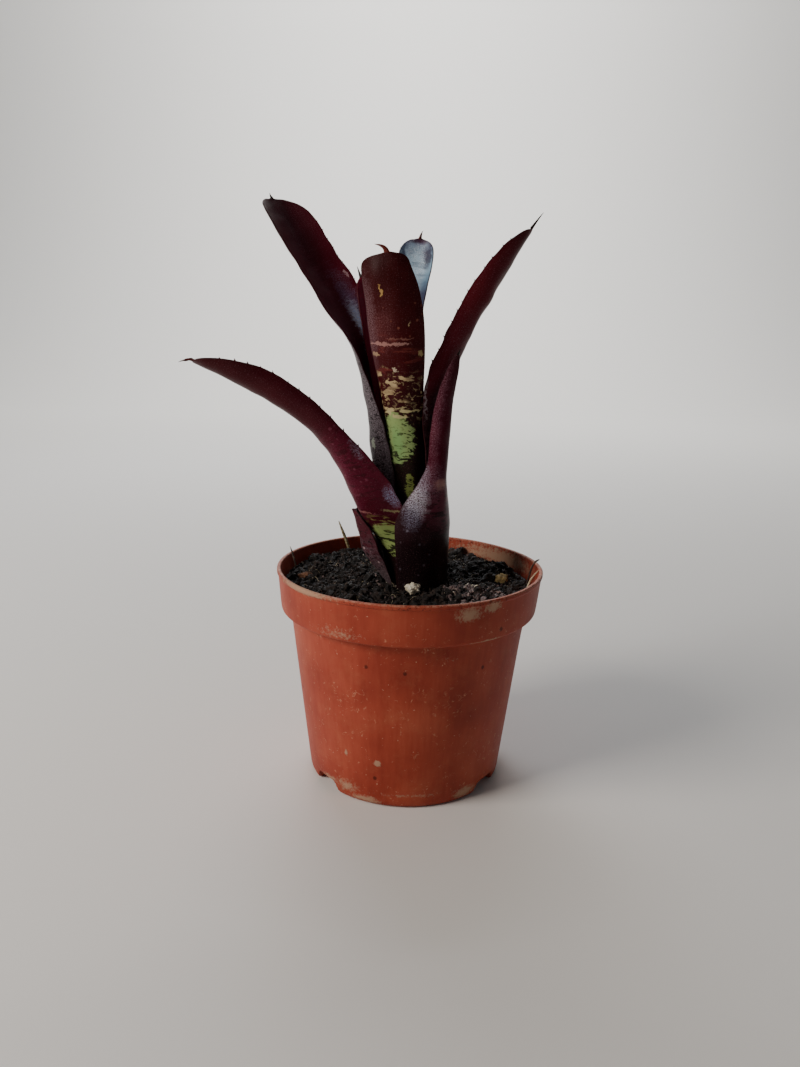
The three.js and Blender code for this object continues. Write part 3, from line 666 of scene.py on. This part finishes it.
def grow_leaf(name, node, leaf, finish):
    """Builds one leaf with its spines, and marks each point with its place on the leaf"""
    draw = random.Random(name)
    line = rib_line(leaf["rib"])
    length = line[3]
    columns = [math.sin(i * math.pi / 2 / half_columns) for i in range(-half_columns, half_columns + 1)]
    stations = [*np.arange(0, length - 7, row_step), *(length - step for step in tip_steps)]
    back = [leaf_row(leaf, line, at, columns) for at in stations]
    blade_rows, width = len(back), len(columns)
    if leaf["spine"]:
        back += end_spine_rows(leaf, line, columns)
        stations += [length + i + 1 for i in range(len(horn_steps))]
    grid = np.array(back)
    for row in range(blade_rows):
        for k, point in enumerate(grid[row]):
            wave = leaf["uneven"] * noise.noise(Vector(point) * 0.16) * min(1, stations[row] / 30)
            grid[row, k] += outwards(math.radians(leaf["facing"])) * wave
    along = np.gradient(grid, axis=0)
    across = np.gradient(grid, axis=1)
    normals = np.cross(across, along)
    normals /= np.maximum(np.linalg.norm(normals, axis=2, keepdims=True), 1e-9)
    slim = np.ones(len(grid))
    slim[blade_rows:] = np.linspace(1.5, 0.12, len(grid) - blade_rows)
    thickness = leaf_thickness + (margin_thickness - leaf_thickness) * np.array(columns) ** 2
    hollow = grid - normals * (thickness[None, :] * slim[:, None])[..., None]
    sides = np.concatenate([grid, hollow[:, ::-1]], axis=1)
    rows, wide = sides.shape[:2]
    faces = tube_faces(rows, wide)
    for row in (0, rows - 1):
        for k in range(width - 1):
            quad = [row * wide + i for i in (k, k + 1, wide - 2 - k, wide - 1 - k)]
            faces.append(tuple(quad if row else quad[::-1]))
    # on_leaf is a point's place across and along, and its side. leaf_share is its share of the width,
    # and 1 on the end spine
    lateral = np.zeros(grid.shape[:2])
    lateral[:, 1:] = np.cumsum(np.linalg.norm(np.diff(grid, axis=1), axis=2), axis=1)
    lateral -= lateral[:, midrib_columns]
    on_leaf, share = np.zeros((rows, wide, 3)), np.zeros((rows, wide, 3))
    on_leaf[:, :width, 0], on_leaf[:, width:, 0] = lateral, lateral[:, ::-1]
    on_leaf[:, :, 1] = np.array(stations)[:, None]
    on_leaf[:, width:, 2] = 1
    share[:, :width, 0], share[:, width:, 0] = columns, columns[::-1]
    share[blade_rows:, :, 1] = 1
    points, on_leaf, share = (values.reshape(-1, 3).tolist() for values in (sides, on_leaf, share))
    for edge, inner in ((0, 2), (width - 1, width - 3)):
        at = leaf["teeth"]
        while at < length - 4:
            row = int(np.argmin(np.abs(np.array(stations[:blade_rows]) - at)))
            root = Vector((grid[row, edge] + hollow[row, edge]) / 2)
            out = (Vector(grid[row, edge]) - Vector(grid[row, inner])).normalized()
            ahead = Vector(along[row, edge]).normalized()
            size = leaf["thorn"] * draw.uniform(0.8, 1.15) * min(1, 0.5 + (length - at) / 30)
            thorn, thorn_faces = hooked_spine(root, out, ahead, size)
            join(points, faces, thorn, thorn_faces)
            on_leaf += [(0, at, 0)] * len(thorn)
            share += [(1, 0.4, 0)] * 4 + [(1, 0.9, 0)] * (len(thorn) - 4)
            at += spine_pitch * draw.uniform(0.8, 1.2)
    piece = new_piece(name, points, faces, finish)
    for title, values in (("on_leaf", on_leaf), ("leaf_share", share)):
        layer = piece.data.attributes.new(title, "FLOAT_VECTOR", "POINT")
        layer.data.foreach_set("vector", np.array(values, dtype=np.float32).ravel())
    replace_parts(piece, node)


def leaf_skin(name, length, back, face, marks, seed, gloss=0.34, spine="#1d0f0c"):
    """Bromeliad leaf: a smooth waxy skin over red pigment, with pale scurf that lies in broken cross
    bands on the back. back and face are the colours from foot to tip. Each mark is its pattern, side
    (0 back, 1 face), place across and along, half width and half length in mm, colour and strength"""
    finish, tree = new_finish(name)
    place = add(tree, "Attribute", out=1, attribute_name="on_leaf")
    share = add(tree, "Attribute", out=1, attribute_name="leaf_share")
    parts = add(tree, "SeparateXYZ", [place]).node.outputs
    horn = add(tree, "SeparateXYZ", [share], out=1)
    edge = add(tree, "Math", [horn.node.outputs[0]], "ABSOLUTE")
    along = add(tree, "Math", [parts[1], length], "DIVIDE")
    seeded = add(tree, "VectorMath", [place, (seed, seed * 3, 0)], "ADD")
    # broad blotches of pigment shift the colour a little along and across the leaf
    blotch = add(tree, "TexNoise", {"Vector": seeded, "Scale": 0.09, "Detail": 4, "Roughness": 0.6})
    shift = add(tree, "Math", [blotch, 0.16, -0.08], "MULTIPLY_ADD")
    shifted = add(tree, "Math", [along, shift], "ADD")
    back_colour = add(tree, "ValToRGB", [shifted], stops=back)
    face_colour = add(tree, "ValToRGB", [shifted], stops=face)
    colour = add(tree, "Mix", {0: parts[2], 6: back_colour, 7: face_colour}, out=2, data_type="RGBA")
    # veins run along the leaf, about 0.7 mm apart
    veins = add(tree, "VectorMath", [seeded, (1.4, 0.03, 1)], "MULTIPLY")
    veins = add(tree, "TexNoise", {"Vector": veins, "Scale": 1, "Detail": 3})
    # bands: long broken lines of scurf, about 1 mm thick and 3 mm apart. Blotches and spots: ragged
    # patches, wider than they are long. Strokes: a few thick dashes that slope across the leaf
    patterns, noises = {"plain": 1, "wash": 1}, {}
    for title, stretch, slope, detail, rough, distortion, low, high in (
            ("bands", (0.07, 0.5, 1), 0, 6, 0.6, 0.5, 0.56, 0.6),
            ("blotches", (0.26, 0.6, 1), 0, 6, 0.6, 0.8, 0.53, 0.57),
            ("strokes", (0.17, 0.5, 1), 0.3, 5, 0.55, 0, 0.54, 0.57),
            ("spots", (0.5, 0.8, 1), 0, 4, 0.5, 0.5, 0.57, 0.61)):
        drawn = add(tree, "Mapping", {0: seeded, 2: (0, 0, slope), 3: stretch}, vector_type="POINT")
        noises[title] = add(tree, "TexNoise", {"Vector": drawn, "Scale": 1, "Detail": detail,
                                               "Roughness": rough, "Distortion": distortion})
        patterns[title] = add(tree, "MapRange", [noises[title], low, high])
    ragged = noises["blotches"]
    # scurf: the dust of tiny scales, drawn at 0.4 mm and gathered in streaks along the veins
    dust = add(tree, "TexNoise", {"Vector": seeded, "Scale": 2, "Detail": 5, "Roughness": 0.8})
    dust = add(tree, "Math", [veins, 0.12, dust], "MULTIPLY_ADD")
    patterns["scurf"] = add(tree, "MapRange", [dust, 0.5, 0.68])
    cell = add(tree, "TexVoronoi", {"Vector": seeded, "Scale": 0.4})
    fleck = add(tree, "Math", [ragged, 0.3, cell], "MULTIPLY_ADD")
    fleck = add(tree, "MapRange", [fleck, 0.3, 0.42, 1, 0])
    lit = add(tree, "SeparateColor", [cell.node.outputs[1]])
    lit = add(tree, "MapRange", [lit, 0.6, 0.62])
    patterns["flecks"] = add(tree, "Math", [fleck, lit], "MULTIPLY")
    # every mark's outline is bent by up to 1.2 mm, most of it along the leaf
    bent = add(tree, "TexNoise", {"Vector": seeded, "Scale": 0.5, "Detail": 4, "Roughness": 0.65}, out=1)
    bent = add(tree, "VectorMath", [bent, (0.5, 0.5, 0.5)], "SUBTRACT")
    bent = add(tree, "VectorMath", [bent, (5, 3.4, 0)], "MULTIPLY")
    bent = add(tree, "VectorMath", [bent, place], "ADD")
    dusty, side_apart = 0, 6
    for pattern, side, across_at, along_at, half_width, half_length, stain, strength in marks:
        stretch = (1 / half_width, 1 / half_length, side_apart)
        away = away_from(tree, bent, (across_at, along_at, side), stretch)
        away = add(tree, "Math", [ragged, 1.1, away], "MULTIPLY_ADD")
        soft = 0.06 if pattern == "plain" else 0.4
        mask = add(tree, "MapRange", [away, 1.5 + soft, 1.5 - soft, 0, strength])
        mask = add(tree, "Math", [mask, patterns[pattern]], "MULTIPLY")
        colour = stained(tree, colour, (mask, stain))
        if pattern == "scurf":
            dusty = add(tree, "Math", [mask, dusty], "MAXIMUM")
    # the margins and spines are dark, and a few loose scales lie all over the leaf
    rim = add(tree, "MapRange", [edge, 0.93, 1, 0, 0.4])
    specks = add(tree, "MapRange", [dust, 0.62, 0.74, 0, 0.3])
    colour = stained(tree, colour, (rim, "#2a0d10"), (horn, spine), (specks, "#a8848c"))
    shine = add(tree, "MapRange", [dusty, 0, 1, gloss, 0.75])
    grains = add(tree, "Math", [dusty, dust], "MULTIPLY")
    relief = add(tree, "Math", [grains, 4, veins], "MULTIPLY_ADD")
    bump = add(tree, "Bump", {"Strength": 0.2, "Distance": 0.00012, "Height": relief})
    close_finish(tree, Base_Color=colour, Roughness=shine, IOR=1.4, Specular_IOR_Level=0.15, Normal=bump)
    return finish


# Front right: a short outer leaf with its back to the front, silvered with scurf where it clasps. The
# whitest of that silver, on the left shoulder that faces the light, is partly scurf and partly a painted
# highlight.
leaf = usual_leaf | dict(
    ring=13.2, wrap=72, open=(33, 63), width=5.2, channel=42, facing=30,
    tip=34, form=1.5, teeth=66, thorn=0.35, horn=0.6, spine=(17.6, -11.1, 178.5),
    rib=[(10.6, -10.8, leaf_foot), (11.4, -11.6, 95), (11.9, -12.3, 113), (11.5, -12, 128),
         (11.7, -11, 143), (13, -10.6, 159), (15.2, -10.8, 170), (16.8, -11, 176.2)])
skin = leaf_skin(
    "leaf_skin_front_right", 103,
    back=[(0, "#130b0c"), (0.25, "#1a0c10"), (0.38, "#2a0a14"), (0.5, "#480c20"), (0.75, "#4e0c20"),
          (1, "#3a0a14")],
    face=[(0, "#2a0a12"), (1, "#3a0c14")],
    marks=[
        ("wash", 0, 4, 43, 11, 9, "#682a3c", 0.8), ("wash", 0, 0.5, 52, 3.2, 2.2, "#a87870", 0.75),
        ("bands", 0, 3, 42, 12, 9, "#1c0a10", 0.8), ("blotches", 0, 4, 44, 12, 8, "#1c0a10", 0.6),
        ("scurf", 0, -10, 46, 4.6, 6, "#dcdce8", 1), ("scurf", 0, -7.5, 54, 3.2, 8, "#b4b0c2", 0.9),
        ("scurf", 0, -12, 40, 4, 6, "#8a88a0", 0.8), ("scurf", 0, -3, 53, 4, 7, "#a07888", 0.6),
        ("scurf", 0, -3.2, 84, 2.4, 26, "#9a6878", 0.75), ("flecks", 0, -14, 34, 6, 18, "#7c7684", 0.5),
        ("flecks", 0, -4, 16, 12, 10, "#5a525a", 0.5)],
    seed=3)
grow_leaf("front_right_leaf", "leaf_front_right_short", leaf, skin)

# Right: a long narrow leaf folded into a deep channel, that leans far out. The thin pale line along one of
# its margins is a painted highlight where the margin catches the light.
leaf = usual_leaf | dict(
    ring=11.8, wrap=65, open=(60, 108), width=12, channel=88, facing=75,
    tip=34, form=1.9, teeth=98, thorn=0.75, horn=0.8, uneven=0.6, spine=(48, 0, 229.8),
    rib=[(14.75, 1, leaf_foot), (14.5, 1.1, 95), (13.9, 1.1, 113), (11.2, 0.8, 142), (12.3, 0.5, 159),
         (17, 0.3, 172), (21.2, 0, 182), (30.1, 0, 199), (37.4, 0, 212.2), (44, 0, 223.5)])
skin = leaf_skin(
    "leaf_skin_right", 157,
    back=[(0, "#120a0b"), (0.35, "#180b0d"), (0.5, "#300d13"), (0.6, "#500e1b"), (0.8, "#540d17"),
          (1, "#420c13")],
    face=[(0, "#240c12"), (0.5, "#380c16"), (1, "#3a0c13")],
    marks=[
        ("bands", 0, 0, 62, 14, 22, "#5c4048", 0.45), ("scurf", 0, 0, 50, 16, 40, "#5a4a54", 0.5),
        ("scurf", 0, -6, 118, 6, 30, "#6c3440", 0.35), ("spots", 0, -10, 66, 8, 20, "#4a3432", 0.6),
        ("wash", 0, -12.9, 84, 0.4, 6, "#a09296", 0.6)],
    seed=17)
grow_leaf("right_leaf", "leaf_right_long", leaf, skin)

# Left: a leaf that arches out low, so that its back and its upper margin are seen. Two small pale blue-grey
# spots on its back, drawn with the scurf pattern, are painted sheen, a painted reflection of the sky.
leaf = usual_leaf | dict(
    ring=10.4, growth=0.007, wrap=60, hug=3, open=(36, 80), width=11.7, channel=90, facing=-64,
    tip=30, form=1.7, teeth=60, thorn=0.8, horn=0.9, uneven=0.6, spine=(-85.7, -29.5, 171.9),
    rib=[(-7.4, -0.9, leaf_foot), (-8.9, -1.2, 88), (-12.1, -2.5, 98), (-16.5, -4.5, 106),
         (-21.2, -7.2, 114.5), (-26.8, -10.4, 127), (-31.6, -13, 136.6), (-40.2, -16, 147.3),
         (-54, -20, 157.8), (-66.8, -23.5, 165), (-81, -28.2, 172.2)])
skin = leaf_skin(
    "leaf_skin_left", 133,
    back=[(0, "#14100c"), (0.2, "#20090d"), (0.34, "#4a0a1c"), (0.5, "#5a0c26"), (0.62, "#420a16"),
          (1, "#420c12")],
    face=[(0, "#2a0a10"), (0.4, "#470c18"), (1, "#3d0c12")],
    marks=[
        ("plain", 0, 10, 30, 8, 8, "#8a9c5c", 1), ("strokes", 0, 8, 27, 12, 10, "#17100b", 0.95),
        ("blotches", 0, 0, 28, 6, 12, "#1a0c0e", 0.95), ("strokes", 0, 11, 38.5, 9, 3.2, "#8f8650", 0.9),
        ("plain", 0, 2, 43, 6, 0.5, "#a8706c", 0.7), ("plain", 0, 16, 44.5, 5, 0.6, "#8f8660", 0.7),
        ("bands", 0, 4, 46, 12, 5, "#8a5260", 0.4), ("scurf", 0, 18.5, 51, 3, 4, "#a0a8cc", 0.9),
        ("scurf", 0, 12, 69.5, 1.6, 2.6, "#a09cb4", 0.8), ("blotches", 0, 6, 62, 12, 22, "#3a0814", 0.75),
        ("flecks", 0, 2, 62, 14, 24, "#8a4458", 0.5), ("scurf", 0, 0, 62, 6, 20, "#8c3c58", 0.45),
        ("scurf", 0, 2, 104, 10, 40, "#5a2a36", 0.2)],
    seed=29, spine="#4a1614")
grow_leaf("left_low_leaf", "leaf_left_low", leaf, skin)

# Upper left: the tallest leaf, which turns its hollow face to the front. The pale blue-violet streak on
# that face near its right margin is a painted highlight, a painted reflection of the sky, and the face is
# lightened on its left half and at its foot as painted light where it lies in shade.
leaf = usual_leaf | dict(
    ring=9, wrap=68, open=(46, 124), width=14.1, channel=45, facing=-130,
    tip=18, form=2.4, teeth=96, thorn=0.55, horn=0.9, uneven=0.7, spine=(-61.6, 32, 239.8),
    rib=[(-5.6, 2.8, leaf_foot), (-7.6, 3.1, 95), (-10.2, 3.6, 110), (-15.2, 4.6, 130), (-17.2, 6, 149),
         (-19.4, 8.6, 166), (-23.4, 11, 181), (-33.9, 16, 197), (-44.6, 22, 212), (-56.3, 29, 230),
         (-60.8, 31.8, 237.4)])
skin = leaf_skin(
    "leaf_skin_left_tall", 179,
    back=[(0, "#1c1014"), (0.3, "#2f2429"), (0.5, "#33202a"), (0.7, "#380f1a"), (1, "#300d14")],
    face=[(0, "#4a1420"), (0.45, "#5c1026"), (0.75, "#580e20"), (1, "#44121c")],
    marks=[
        ("plain", 0, 8, 84, 10, 46, "#2a1c22", 0.9), ("scurf", 0, 9, 84, 9, 40, "#a89ea6", 0.7),
        ("spots", 0, 9, 74, 9, 46, "#140d0f", 0.85), ("plain", 0, 9.4, 67.6, 1.1, 2.4, "#b4beae", 0.95),
        ("wash", 1, 7, 142, 8, 40, "#6c2230", 0.75), ("scurf", 1, 5, 140, 8, 36, "#7c4454", 0.4),
        ("wash", 1, -7, 114, 4, 17, "#6a5480", 0.6), ("wash", 1, -6.2, 112.5, 2.2, 10, "#c4d2ff", 0.95),
        ("scurf", 1, -6.2, 112, 3.2, 13, "#f4f6ff", 1), ("scurf", 1, -8, 127, 4, 14, "#94809c", 0.5),
        ("plain", 1, -12.6, 137.4, 0.5, 1.8, "#b08a90", 0.8), ("scurf", 1, 0, 168, 12, 16, "#6f5058", 0.3)],
    seed=41)
grow_leaf("left_tall_leaf", "leaf_left_tall", leaf, skin)

# Middle: the broad leaf with its back to the front, banded with scurf and green at its foot
leaf = usual_leaf | dict(
    ring=7.6, wrap=65, open=(70, 114), width=12.6, channel=50, facing=-10,
    tip=5, form=5, slant=0.42, teeth=92, thorn=0.3, horn=1.3, uneven=0.6, spine=(-15.7, -18.2, 215),
    rib=[(1, -7.3, leaf_foot), (-0.1, -7.9, 95), (-3, -8.5, 118), (-4.6, -9.5, 139), (-6.8, -11, 157),
         (-7.8, -14.5, 181), (-9.2, -17.5, 196), (-10.6, -19, 205), (-11.3, -18.4, 212.2)])
skin = leaf_skin(
    "leaf_skin_middle", 139,
    back=[(0, "#1c1e10"), (0.3, "#1a110b"), (0.5, "#200706"), (0.64, "#380508"), (0.78, "#400408"),
          (1, "#300305")],
    face=[(0, "#6d7440"), (0.4, "#4a161b"), (1, "#3d0e14")],
    marks=[
        ("plain", 0, -1.5, 70, 8, 10.5, "#8da466", 1), ("wash", 0, -1, 68, 2.5, 7, "#7fa868", 0.8),
        ("blotches", 0, 0, 60, 12, 7, "#17110b", 0.95), ("blotches", 0, 6, 72, 4.5, 12, "#1a120c", 0.95),
        ("blotches", 0, -8.5, 74, 4.5, 7, "#17110b", 0.95), ("spots", 0, -8, 68, 4, 8, "#17110b", 0.95),
        ("spots", 0, 0, 66, 8, 11, "#2a3018", 0.6), ("spots", 0, 6, 70, 4.5, 12, "#17110b", 0.95),
        ("plain", 0, 3, 50, 1.8, 6, "#7d8746", 0.95), ("blotches", 0, 3, 50, 5, 9, "#15100a", 0.9),
        ("flecks", 0, 2, 86, 14, 10, "#b8a27a", 0.9), ("strokes", 0, 0, 80.5, 15, 3, "#b9ae80", 1),
        ("strokes", 0, -5, 85, 8, 4, "#b39c74", 1), ("strokes", 0, -1, 93.5, 10, 4, "#b8a27a", 1),
        ("spots", 0, 4, 88, 12, 6, "#a8946c", 0.6), ("bands", 0, 0, 101, 13, 9, "#6d2c28", 0.6),
        ("plain", 0, -3, 106.4, 9, 0.7, "#b0827a", 0.75), ("plain", 0, 3, 108.4, 6, 0.35, "#8a5a50", 0.7),
        ("plain", 0, -9.2, 102.4, 2.4, 0.8, "#a88a6a", 0.85),
        ("plain", 0, 10.5, 102.6, 1, 1.3, "#b59c6c", 0.85),
        ("plain", 0, 0, 96.8, 0.8, 0.8, "#c4b39a", 0.9), ("scurf", 0, -11, 114, 3.5, 18, "#9a7c84", 0.6),
        ("scurf", 0, -4, 112, 5, 8, "#7a4a4c", 0.5), ("flecks", 0, 3, 115, 9, 9, "#9a5a48", 0.6),
        ("plain", 0, -3.8, 126.5, 0.6, 2.4, "#b08c54", 0.95),
        ("plain", 0, 6, 113.5, 0.45, 0.9, "#b49a72", 0.9)],
    seed=53, gloss=0.5, spine="#5a2018")
grow_leaf("middle_leaf", "leaf_front_centre", leaf, skin)

# Behind, left: a small leaf of which only the tip is seen. The bright maroon wash on its face is painted
# light, which lifts the face where it lies in shade between its neighbours.
leaf = usual_leaf | dict(
    ring=7.6, wrap=45, open=(50, 80), width=6.2, channel=45, facing=-150,
    tip=20, form=2, teeth=80, thorn=0.5, horn=0.8, spine=(-23.9, 15.7, 210.2),
    rib=[(-0.8, 6.6, leaf_foot), (-2.2, 6.9, 95), (-3.9, 7.2, 110), (-7, 7.8, 132), (-12, 9.8, 157),
         (-16.6, 12, 181), (-19.8, 14, 197), (-22.4, 15.3, 205.5)])
skin = leaf_skin(
    "leaf_skin_rear_left", 134,
    back=[(0, "#1c1014"), (0.5, "#34101a"), (1, "#380e18")],
    face=[(0, "#2b0c14"), (0.6, "#6a162c"), (1, "#6a162c")],
    marks=[
        ("wash", 1, 4.5, 106, 4, 26, "#a03048", 0.9), ("scurf", 1, -3, 122, 3, 16, "#8a8494", 0.8),
        ("bands", 0, 0, 60, 9, 24, "#8f7f78", 0.5)],
    seed=67)
grow_leaf("rear_left_leaf", "leaf_rear_left", leaf, skin)

# Behind, right: a leaf that shows its waxy face. The face's blue-grey, pale towards the tip and whitest
# just below it, is a painted reflection of the sky.
leaf = usual_leaf | dict(
    ring=6.2, wrap=50, open=(60, 90), width=8.2, channel=45, facing=165,
    tip=9, form=2.8, teeth=85, thorn=0.5, horn=0.8, spine=(2.5, 18.6, 224.6),
    rib=[(4.6, 6, leaf_foot), (3.6, 6.4, 95), (1.2, 6.8, 118), (-1, 7.4, 140), (-2.6, 9, 157),
         (-3, 12, 177.5), (-3, 14.5, 193), (-1.4, 16, 203), (0.3, 17.5, 212), (1.5, 18.5, 221.4)])
skin = leaf_skin(
    "leaf_skin_rear_right", 147,
    back=[(0, "#1c1014"), (0.5, "#34141c"), (1, "#34121a")],
    face=[(0, "#2a1018"), (0.6, "#2c2a40"), (0.85, "#3e445c"), (0.9, "#6a869e"), (0.95, "#9cbcd4"),
          (1, "#5c5470")],
    marks=[
        ("scurf", 1, 1, 139, 6, 7, "#e0f0fc", 0.9), ("bands", 1, 0, 134, 8, 8, "#5a6c84", 0.5),
        ("wash", 1, 6.5, 138, 1.4, 12, "#2c3450", 0.8), ("wash", 1, -5.5, 142, 2.2, 5, "#30243c", 0.8),
        ("plain", 1, 0.8, 119, 0.8, 1.9, "#d4dcd0", 0.9), ("wash", 1, 0, 148.6, 6, 1.6, "#3c2236", 0.9),
        ("bands", 0, 0, 70, 9, 26, "#9a8a80", 0.5)],
    seed=71, spine="#5a261c")
grow_leaf("rear_right_leaf", "leaf_rear_right", leaf, skin)

# Heart: the youngest leaf, still rolled up in the middle of the rosette
leaf = usual_leaf | dict(
    ring=4.6, growth=0, wrap=80, open=(40, 62), width=5.6, channel=70, facing=60,
    tip=18, form=1.5, teeth=50, thorn=0.4, horn=0.6, uneven=0.3, spine=(0.6, -3, 161.5),
    rib=[(7, -2.3, leaf_foot), (5.5, -2.3, 95), (3.5, -2.4, 118), (1.8, -2.6, 140), (0.8, -3, 157)])
skin = leaf_skin(
    "leaf_skin_heart", 83,
    back=[(0, "#7d8a48"), (0.4, "#5c4a34"), (1, "#4a141c")],
    face=[(0, "#8a9850"), (0.4, "#664a3a"), (1, "#4d1820")],
    marks=[
        ("spots", 0, 0, 50, 8, 26, "#3a1014", 0.7)],
    seed=83)
grow_leaf("heart_leaf", "leaf_heart", leaf, skin)

# Lower left: the torn, dry foot of an old leaf, with no spines left on it
leaf = usual_leaf | dict(
    ring=11.8, growth=0.03, wrap=37, hug=2, open=(200, 201), width=8, channel=45, facing=-88,
    tip=32, form=1.3, teeth=200, thorn=0.5, horn=0.5, uneven=1.3, spine=None,
    rib=[(-8.6, -0.4, leaf_foot), (-10.3, -0.5, 82), (-14.6, -1, 89), (-19, -1.5, 96), (-21.3, -2, 104),
         (-22.9, -2, 109.5), (-23.9, -2, 113.5)])
skin = leaf_skin(
    "dry_leaf_skin", 43,
    back=[(0, "#1a1212"), (0.35, "#3a2a2a"), (0.6, "#46202a"), (1, "#4c1822")],
    face=[(0, "#140e10"), (1, "#3a1720")],
    marks=[
        ("scurf", 0, 0, 16, 14, 14, "#82747c", 0.7), ("blotches", 0, 0, 30, 12, 12, "#4a1420", 0.7),
        ("spots", 0, 0, 22, 14, 24, "#0c0808", 0.9), ("flecks", 0, 0, 18, 14, 16, "#b09a9c", 0.9)],
    seed=97, gloss=0.55)
grow_leaf("old_leaf_foot", "old_sheath_left", leaf, skin)


# ---- Loose lumps on the soil ----
# A lump of pumice, a tan pebble, a flake of bark, a clod of peat and two pumice crumbs that lie
# half sunk in the surface.
def lump_piece(name, node, slot, at, size, finish, roughness, seed):
    """A rough stone or clod: its middle, its radii, and how deep its surface is broken"""
    shape, faces = crumb_shapes(1, 5, seed, 0.3)[0]
    points = []
    for point in shape:
        fine = noise.fractal(Vector(point) * 3 + Vector((seed, 0, 0)), 0.8, 2, 4)
        points.append(np.array(point) * (0.92 + roughness * fine) * size + at)
    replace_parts(new_piece(name, points, faces, finish), node)


# Pebble: weathered tan stone with darker pits
sandstone = grained_finish("tan_stone", [(0.3, "#4e3f28"), (0.5, "#8f7a4e"), (0.68, "#b8a06c")],
                           (0.6, 0.6, 0.6), 6, (0.6, 0.0003), 0.85)
# Bark: fibrous, warm brown, its fibres about 1 mm apart and drawn out along the flake
bark = grained_finish("bark", [(0.3, "#2c1a10"), (0.5, "#6b452c"), (0.7, "#94684a")],
                      (0.4, 1.5, 2.5), 5, (0.8, 0.0005), 0.85)

lumps = [
    ("pumice_stone", "pumice_lump", "pumice", (1.7, -16.9, 84.2), (3.1, 2.6, 2.4), pumice, 0.16),
    ("tan_stone", "tan_pebble", "pebble", (40, 3.5, 83), (3, 2.6, 2.3), sandstone, 0.1),
    ("bark_flake", "bark_piece", "bark", (-43.3, -0.5, 83.4), (3.6, 2.4, 1.8), bark, 0.14),
    ("peat_clod", "soil_crumb", "soil", (-41.6, 23, 84.8), (3.2, 2.8, 2.4), peat, 0.2),
    ("pumice_bit_left", "pumice_crumb_left", "pumice", (24.9, -6, 82.2), (1.5, 1.3, 1.2), pumice, 0.2),
    ("pumice_bit_right", "pumice_crumb_right", "pumice", (28.6, -7.5, 82), (1.7, 1.4, 1.3), pumice, 0.2),
]
for seed, lump in enumerate(lumps, 5):
    lump_piece(*lump, seed)


# ---- Dry stalks in the soil ----
# Dead stalks that stand in the soil, thicker at the foot and broken off thin at the top.

# Woody twig: olive-tan, streaked with brown
twig = grained_finish("woody_twig", [(0.35, "#3a2a1c"), (0.5, "#847650"), (0.65, "#b0a684")],
                      (0.7, 0.7, 0.7), 4, (0.5, 0.0002), 0.75)


def stalk_piece(name, node, slot, finish, radius, path, seed):
    """A dry stalk through some points, its thickness uneven and its top broken off thin"""
    draw = random.Random(seed)
    fine = [Vector(p) for p in rib_line(path)[0][::6]]
    radii = []
    for i in range(len(fine)):
        share = i / (len(fine) - 1)
        radii.append(radius * (0.85 + 0.15 * share) * (1 - 0.75 * share ** 6) * draw.uniform(0.85, 1))
    points, faces = strand(fine, radii, 10)
    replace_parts(new_piece(name, [tuple(p) for p in points], faces, finish), node)


stalks = [
    ("dry_twig", "pale_twig", "straw", twig, 0.85, [(-26.8, 43, 78), (-28.6, 43, 86), (-33.2, 42.6, 98.5)]),
    ("dry_straw", "pale_straw", "straw", straw, 0.5,
     [(47.6, -9.9, 79), (50.3, -8.9, 86.5), (53.5, -8.8, 91)]),
    ("left_sprig", "sprig_left", "sprig", root_fibre, 0.5,
     [(-48, 8, 79), (-49.2, 8.6, 87), (-51.4, 9.5, 94)]),
    ("right_sprig", "sprig_right", "sprig", root_fibre, 0.5,
     [(50, 3, 78), (53.2, 2, 90.8), (55.5, 2.2, 92.5)]),
]
for seed, stalk in enumerate(stalks):
    stalk_piece(*stalk, seed)


# ---- Floor and studio light ----
# A plain pale floor that curves up into a wall behind, and soft light that comes mostly from the
# left, with a weaker and cooler one from behind.
floor_line = [(-3, 0), (1.6, 0)]
floor_line += [(1.6 + 1.2 * math.sin(i * 0.131), 1.2 - 1.2 * math.cos(i * 0.131)) for i in range(1, 13)]
floor_line += [(2.8, 4)]
floor_points = [(x, y, z) for y, z in floor_line for x in (-5, 5)]
floor_faces = [(i, i + 1, i + 3, i + 2) for i in range(0, len(floor_points) - 2, 2)]
floor_mesh = bpy.data.meshes.new("floor")
floor_mesh.from_pydata(floor_points, [], floor_faces)
floor_mesh.shade_smooth()
floor = bpy.data.objects.new("floor", floor_mesh)
bpy.context.scene.collection.objects.link(floor)
pale_floor, tree = new_finish("pale_floor")
close_finish(tree, Base_Color=linear("#eceae6"), Roughness=0.9)
floor_mesh.materials.append(pale_floor)

world = bpy.data.worlds.new("studio")
bpy.context.scene.world = world
world.use_nodes = True
world.node_tree.nodes["Background"].inputs["Color"].default_value = linear("#f2f4f8")
world.node_tree.nodes["Background"].inputs["Strength"].default_value = 0.1


def soft_light(name, place, aim, size, power, colour):
    """A square soft box that looks from one point to another"""
    light = bpy.data.lights.new(name, "AREA")
    light.size, light.energy, light.color = size, power, linear(colour)[:3]
    lamp = bpy.data.objects.new(name, light)
    lamp.location = place
    lamp.rotation_euler = (Vector(aim) - Vector(place)).to_track_quat("-Z", "Y").to_euler()
    bpy.context.scene.collection.objects.link(lamp)


soft_light("window", (-0.85, -0.42, 0.62), (0, 0, 0.1), 0.45, 9.5, "#fff6ec")
soft_light("back_light", (-0.3, 0.8, 0.8), (0, 0, 0.15), 0.5, 2.4, "#eef2ff")
soft_light("backdrop_light", (0, 1.3, 1.9), (0, 2.7, 0.7), 1, 60, "#ffffff")

bpy.context.view_layer.update()
